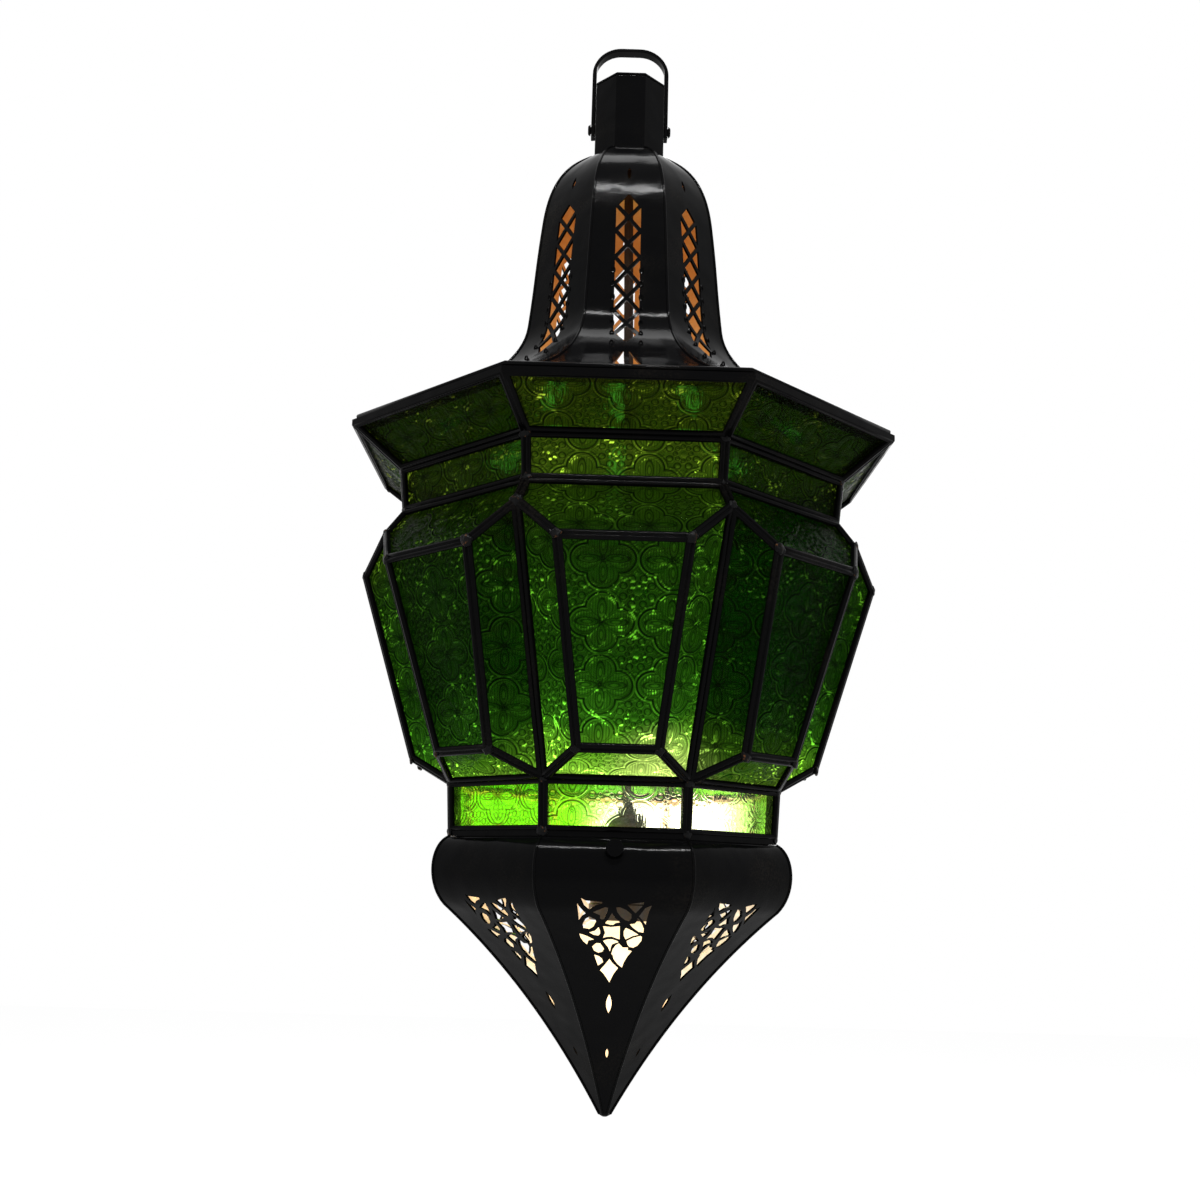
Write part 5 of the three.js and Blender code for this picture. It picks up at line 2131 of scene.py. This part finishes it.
@dataclass
class FiligreeDome(GoredShell):
    """The dome that opens for the bulb, with a filigree window in every side."""

    enamel: bpy.types.Material
    inside: bpy.types.Material
    mouth: float = 88.5
    mouth_level: float = -459.1
    belly: float = 89.0
    belly_drop: float = 32.6
    height: float = 135.5
    tip_radius: float = 3.0
    tip_height: float = 1.5
    seam: float = 0.7
    lip_wire: float = 1.2
    lip_reach: float = 0.3
    boss_radius: float = 3.6
    boss_bore: float = 2.15
    boss_reach: Point = (81.6, 87.7)
    boss_level: float = -463.5
    boss_bevel: float = 0.5

    NAME = "dome"
    NODE = "dome_shell"
    BODY = Body.DOME
    SLITS = ((77.5, 1.3, 4.6), (102.5, 0.7, 2.3))
    TIP = ((0, 9), (4.2, 8), (4.1, 4), (3.0, 1), (1.2, 0), (0, 0))
    CUTS = (
        ((-14.7, 27.4), (-12.8, 28.4), (-5, 28.9), (-5, 29.6), (-8.2, 30.5), (-10.9, 32.4),
            (-13.2, 30.5)),
        ((-16.5, 29.8), (-15, 31.7), (-12.4, 34.3), (-14, 35.3), (-15.5, 37.4), (-15.8, 34.1)),
        ((-9, 33.6), (-5.8, 32.2), (-3.6, 31.2), (-2.2, 31.5), (-2.6, 33.6), (-3.4, 35), (-3.8, 36.7),
            (-4.7, 36.9), (-5.7, 36.5), (-5.7, 35)),
        ((-10.7, 35.7), (-7.9, 36.9), (-7.5, 37.9), (-8.7, 40.3), (-10.5, 41.5), (-13.3, 41),
            (-13.6, 39.3), (-12.5, 36.9)),
        ((-10.5, 43.1), (-7.8, 42.2), (-6.2, 40.5), (-5.5, 42.2), (-5.4, 43.6), (-6.3, 44.5),
            (-8.6, 44.1)),
        ((-15, 43.8), (-12.3, 44.5), (-8.1, 46.4), (-10.8, 46.9), (-11.4, 48.8), (-13.1, 47.4),
            (-14.5, 45.5)),
        ((-8.9, 49.8), (-7.1, 48.1), (-5.2, 48.1), (-3.3, 50.7), (-4.2, 52.2), (-6, 52.6), (-7.9, 51.7)),
        ((-7.8, 53.6), (-5.5, 54.3), (-4.1, 55.5), (-3.5, 57.1), (-5.8, 58.8), (-6.8, 56.4)),
        ((-0.3, 33.8), (1.2, 36), (3.6, 38.1), (1.7, 38.4), (0.4, 39.3), (-1, 39.3), (-3.3, 38.6),
            (-2, 36.9)),
        ((1.5, 31.2), (3.3, 31.1), (6.1, 32.2), (8.7, 34.1), (8.8, 36), (7.7, 37.4), (5.8, 36.9),
            (3.9, 35.5), (2, 33.1)),
        ((6.5, 29.8), (10.1, 29.1), (14.2, 28.5), (14, 29.8), (12.1, 31.9), (10.5, 33.6), (8.9, 32.2)),
        ((17.9, 29.8), (14.8, 31.2), (12.2, 35), (14.1, 36.9), (15.5, 38.8), (15.9, 36.5), (16.7, 32.7)),
        ((11.8, 36.2), (13.7, 38.4), (14.7, 40.7), (14.7, 42.6), (12.4, 42.2), (9.6, 40.3),
            (8.2, 38.8), (10.5, 38.4), (11.3, 37.4)),
        ((-4.2, 40), (-0.5, 40.3), (3.6, 39.8), (3.8, 46), (2, 45.5), (0.1, 44.8), (-2.2, 45),
            (-4, 45.5), (-3.1, 43.1)),
        ((6.4, 40.5), (9.2, 41.7), (12.5, 43.6), (9.8, 44.3), (7.5, 45.5), (6.6, 46), (5.6, 44.1),
            (5.5, 42.2)),
        ((7.1, 46.7), (10.2, 45), (13.4, 44.1), (14.1, 44.5), (14, 46.4), (12.2, 48.8), (10.4, 49.8),
            (8.6, 49.5), (7.6, 48.4)),
        ((-3.9, 46.9), (-2.1, 46.2), (0.2, 46), (2.5, 46.7), (3.4, 47.4), (1.6, 47.9), (0.3, 48.6),
            (-0.1, 49.8), (-0.5, 51.9), (-1.5, 49.8), (-3, 48.1)),
        ((3.5, 47.9), (4.4, 48.8), (5.4, 49.8), (7.9, 49.8), (7.9, 51), (9.8, 51.4), (7.8, 54.1),
            (6.3, 56.9), (5.5, 59.5), (3.4, 57.9), (1.4, 55.5), (0.9, 53.6), (0.2, 53.1), (0.8, 50.7),
            (2.1, 48.8)),
        ((-0.6, 55.5), (1.1, 57.6), (3.7, 59.8), (1.7, 62.6), (0.6, 65), (-0.2, 66.9), (-1.4, 65),
            (-2.9, 62.9), (-4.8, 61), (-3, 58.8), (-1.7, 57.1)),
    )

    def profile(self) -> list[Point]:
        """Draws the dome from its mouth to its tip.

        Returns:
            Corner radius and level of each point.
        """
        top = self.mouth_level
        belly = (self.belly, top - self.belly_drop)
        tip = (self.tip_radius, top - self.height + self.tip_height)
        over_belly, under_belly = (self.belly + 10, belly[1] + 10), (self.belly - 23, belly[1] - 19)
        bulge = bezier((self.mouth, top), (self.mouth + 9, top - 4), over_belly, belly, 18)
        cone = bezier(belly, under_belly, (self.tip_radius + 31, tip[1] + 51.5), tip, 28)
        return [*bulge, *cone[1:]]

    def openings(self) -> list[list[Point]]:
        """Draws the filigree window and the two slits under it.

        Returns:
            The outlines.
        """
        shapes = [[(x, self.mouth_level - drop) for x, drop in outline] for outline in self.CUTS]
        shapes += [leaf(self.mouth_level - drop, half, tall) for drop, half, tall in self.SLITS]
        return shapes

    def build(self) -> None:
        """Makes the dome's gores, seams, lip, tip and boss."""
        self.raise_shell()
        self.hem("dome_lip", self.mouth + self.lip_reach, self.mouth_level - self.lip_wire, self.lip_wire)
        tip_level = self.mouth_level - self.height
        tip = Bench.spun("dome_tip", [(radius, tip_level + rise) for radius, rise in self.TIP], 16)
        Bench.smooth(tip, 60)
        Bench.fit_out(tip, self.enamel, self.BODY, Slot.TIN)
        self.boss()

    def boss(self) -> None:
        """Turns the boss that the clamping screw goes through."""
        inner, outer = self.boss_reach
        bore, radius, bevel = self.boss_bore, self.boss_radius, self.boss_bevel
        rounded = [(radius, outer - bevel), (radius - bevel, outer)]
        ring = [(bore, inner), (radius, inner), *rounded, (bore, outer), (bore, inner)]
        piece = Bench.spun("screw_boss", ring, 28)
        turn = Matrix.Rotation(math.pi / 2, 4, "X")
        piece.data.transform(Matrix.Translation((0.0, 0.0, self.boss_level * MM)) @ turn)
        Bench.smooth(piece, 40)
        Bench.fit_out(piece, self.enamel, self.BODY, Slot.TIN)


# Hardware and lamp


@dataclass
class Hardware:
    """Hoop, neck, gland, hinge and clamping screw: the frame's own pieces with their edges rounded."""

    nodes: dict[str, bpy.types.Object]
    enamel: bpy.types.Material
    brass: bpy.types.Material
    leg_reach: float = 0.55
    leg_slack: float = 0.1

    def close_legs(self, hoop: bpy.types.Object) -> None:
        """Thickens the hoop's legs inwards, until they nearly touch the neck's sides.

        Args:
            hoop: the finished hoop, whose legs' inner faces lie within leg_reach of the neck.
        """
        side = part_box("neck_tube")[1].x
        for vertex in hoop.data.vertices:
            if side < abs(vertex.co.x) < side + self.leg_reach * MM:
                vertex.co.x = math.copysign(side + self.leg_slack * MM, vertex.co.x)

    def build(self) -> None:
        """Rounds and paints each piece."""
        rounded = {
            "hanging_hoop": (0.5, Body.HOOP, self.enamel, Slot.TIN),
            "hoop_rivet_left": (0.4, Body.LANTERN, self.enamel, Slot.TIN),
            "hoop_rivet_right": (0.4, Body.LANTERN, self.enamel, Slot.TIN),
            "neck_tube": (0.5, Body.LANTERN, self.enamel, Slot.TIN),
            "neck_cap": (0.4, Body.LANTERN, self.enamel, Slot.TIN),
            "cable_gland": (0.3, Body.LANTERN, self.brass, Slot.BRASS),
            "gland_nut": (0.3, Body.LANTERN, self.brass, Slot.BRASS),
            "dome_mouth_ring": (0.3, Body.DOME, self.enamel, Slot.TIN),
            "clamp_screw": (0.6, Body.SCREW, self.enamel, Slot.TIN),
            "hinge_upper_leaf": (0.2, Body.LANTERN, self.enamel, Slot.TIN),
            "hinge_lower_leaf": (0.2, Body.DOME, self.enamel, Slot.TIN),
            "hinge_pin": (0.2, Body.LANTERN, self.enamel, Slot.TIN),
        }
        for node, (width, body, finish, slot) in rounded.items():
            piece = Bench.softened(self.nodes[node], f"{node}_finished", width)
            if body is Body.HOOP:
                self.close_legs(piece)
            Bench.fit_out(piece, finish, body, slot, node)
        log.info("hardware: %d pieces", len(rounded))


@dataclass
class Lamp:
    """Lead, lampholder, bulb cap and bulb. The profiles are radii and steps down or up, in millimetres."""

    nodes: dict[str, bpy.types.Object]
    bakelite: bpy.types.Material
    rubber: bpy.types.Material
    brass: bpy.types.Material
    glass: bpy.types.Material
    across: float = 8.0
    bulb_radius: float = 28.0
    bulb_neck: float = 12.2
    neck_blend: float = 0.25
    bulb_steps: int = 24
    first_rib: float = 16.0
    rib_pitch: float = 4.0
    plain_foot: float = 6.0
    lead_hole: float = 3.2

    HEAD = ((3.3, 0), (6.6, 0), (7.8, 1.2), (7.8, 4), (11, 6), (16, 10), (18.2, 12), (19, 14.5))
    RIB = ((19, 0), (18.2, 0.6), (18.2, 1.6), (19, 2.2))
    SOCKET = ((19, 1), (18.4, 0), (13.6, 0), (13.6, 24.3), (3.3, 24.3))
    GRIP = ((4.5, 15.4), (5.0, 12.6), (8.0, 11.2), (9.5, 8.8), (9.8, 5.2), (8.6, 2.2), (9.4, 0.2))

    def move_over(self, piece: bpy.types.Object) -> bpy.types.Object:
        """Moves a piece that was spun on the axis over to the lead's line."""
        piece.data.transform(Matrix.Translation((self.across * MM, 0.0, 0.0)))
        return piece

    def holder(self) -> None:
        """Turns the lampholder with its ribbed skirt."""
        low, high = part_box("lampholder")
        top, foot = high.z / MM, low.z / MM
        profile = [(radius, top - drop) for radius, drop in self.HEAD]
        level = top - self.first_rib
        while level > foot + self.plain_foot:
            profile += [(radius, level - drop) for radius, drop in self.RIB]
            level -= self.rib_pitch
        profile += [(radius, foot + rise) for radius, rise in self.SOCKET]
        profile.append(profile[0])
        piece = self.move_over(Bench.spun("lampholder_turned", profile, 40))
        Bench.smooth(piece, 40)
        Bench.fit_out(piece, self.bakelite, Body.LANTERN, Slot.BAKELITE, "lampholder")

    def cord_grip(self) -> None:
        """Turns the grip that holds the lead on top of the lampholder."""
        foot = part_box("lampholder")[1].z / MM
        hole_top = (self.lead_hole, foot + 15.8)
        hole_foot = (self.lead_hole, foot + 0.2)
        profile = [hole_top, *[(radius, foot + rise) for radius, rise in self.GRIP], hole_foot, hole_top]
        piece = self.move_over(Bench.spun("cord_grip", profile, 32))
        Bench.smooth(piece, 40)
        Bench.fit_out(piece, self.bakelite, Body.LANTERN, Slot.BAKELITE)

    def bulb(self) -> None:
        """Blows the bulb's glass."""
        low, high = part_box("bulb_glass")
        centre = low.z / MM + self.bulb_radius
        top = high.z / MM
        start = math.asin(self.bulb_neck / self.bulb_radius) + self.neck_blend
        profile = [(0, top), (self.bulb_neck - 1, top), (self.bulb_neck, top - 1)]
        for k in range(self.bulb_steps + 1):
            angle = start + (math.pi - start) * k / self.bulb_steps
            radius = 0 if k == self.bulb_steps else self.bulb_radius * math.sin(angle)
            profile.append((radius, centre + self.bulb_radius * math.cos(angle)))
        piece = self.move_over(Bench.spun("bulb_blown", profile, 48))
        Bench.smooth(piece, 60)
        Bench.fit_out(piece, self.glass, Body.BULB, Slot.LAMP, "bulb_glass")

    def build(self) -> None:
        """Makes the lamp."""
        self.holder()
        self.cord_grip()
        self.bulb()
        cap = Bench.softened(self.nodes["bulb_cap"], "bulb_cap_finished", 0.3)
        Bench.fit_out(cap, self.brass, Body.BULB, Slot.BRASS, "bulb_cap")
        lead = Bench.softened(self.nodes["inner_lead"], "inner_lead_finished", 0.4)
        Bench.fit_out(lead, self.rubber, Body.LANTERN, Slot.RUBBER, "inner_lead")
        log.info("lamp: holder, lead, cap and bulb")


def dress_frame(
    nodes: dict[str, bpy.types.Object], enamel: bpy.types.Material, inside: bpy.types.Material
) -> None:
    """Paints the frame's own bars, which carry the came, and gives the inside of the base bare tin with the
    bulb's light painted on it as a glow.

    Args:
        nodes: the frame's nodes.
        enamel: the black paint.
        inside: the bare tin beside the bulb, with its painted glow.
    """
    names = ["crown_frame", "base_frame", *[f"face_frame_{k + 1}" for k in range(SIDES)]]
    for name in names:
        node = nodes[name]
        for slot in node.material_slots:
            slot.material = enamel
    base = nodes["base_frame"].data
    # Faces turned towards the axis take the tin with the painted glow.
    base.materials.append(inside)
    for face in base.polygons:
        middle = Vector((face.center.x, face.center.y, 0.0)).normalized()
        if middle.dot(face.normal) < FACES_AXIS:
            face.material_index = len(base.materials) - 1


def main() -> None:
    """Builds the lantern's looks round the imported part."""
    logging.basicConfig(level=logging.INFO, format="%(message)s")
    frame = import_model()
    nodes = frame["nodes"]
    bpy.context.scene.view_settings.view_transform = "Standard"
    Viewpoint().place()
    Studio().build()
    enamel = BlackEnamel().material()
    solder = SolderMetal().material()
    brass = OldBrass().material()
    glass = body_glass().material()
    strip = strip_glass().material()
    bakelite = MouldedBlack("black_bakelite", base=(0.012, 0.010, 0.009), roughness=0.2, grain_scale=300.0)
    rubber = MouldedBlack("dull_rubber", base=(0.012, 0.012, 0.012), roughness=0.5, grain_scale=1200.0)
    roof_inside = roof_tin().material()
    dome_inside = dome_tin().material()
    skeleton = Skeleton(nodes)
    dress_frame(nodes, enamel, dome_inside)
    PaneWork(skeleton, glass, strip).build()
    CameWork(skeleton, enamel, solder).build()
    PiercedRoof(skeleton, enamel, roof_inside).build()
    FiligreeDome(enamel, dome_inside).build()
    Hardware(nodes, enamel, brass).build()
    Lamp(nodes, bakelite.material(), rubber.material(), brass, LampGlass().material()).build()


if __name__ == "__main__":
    main()
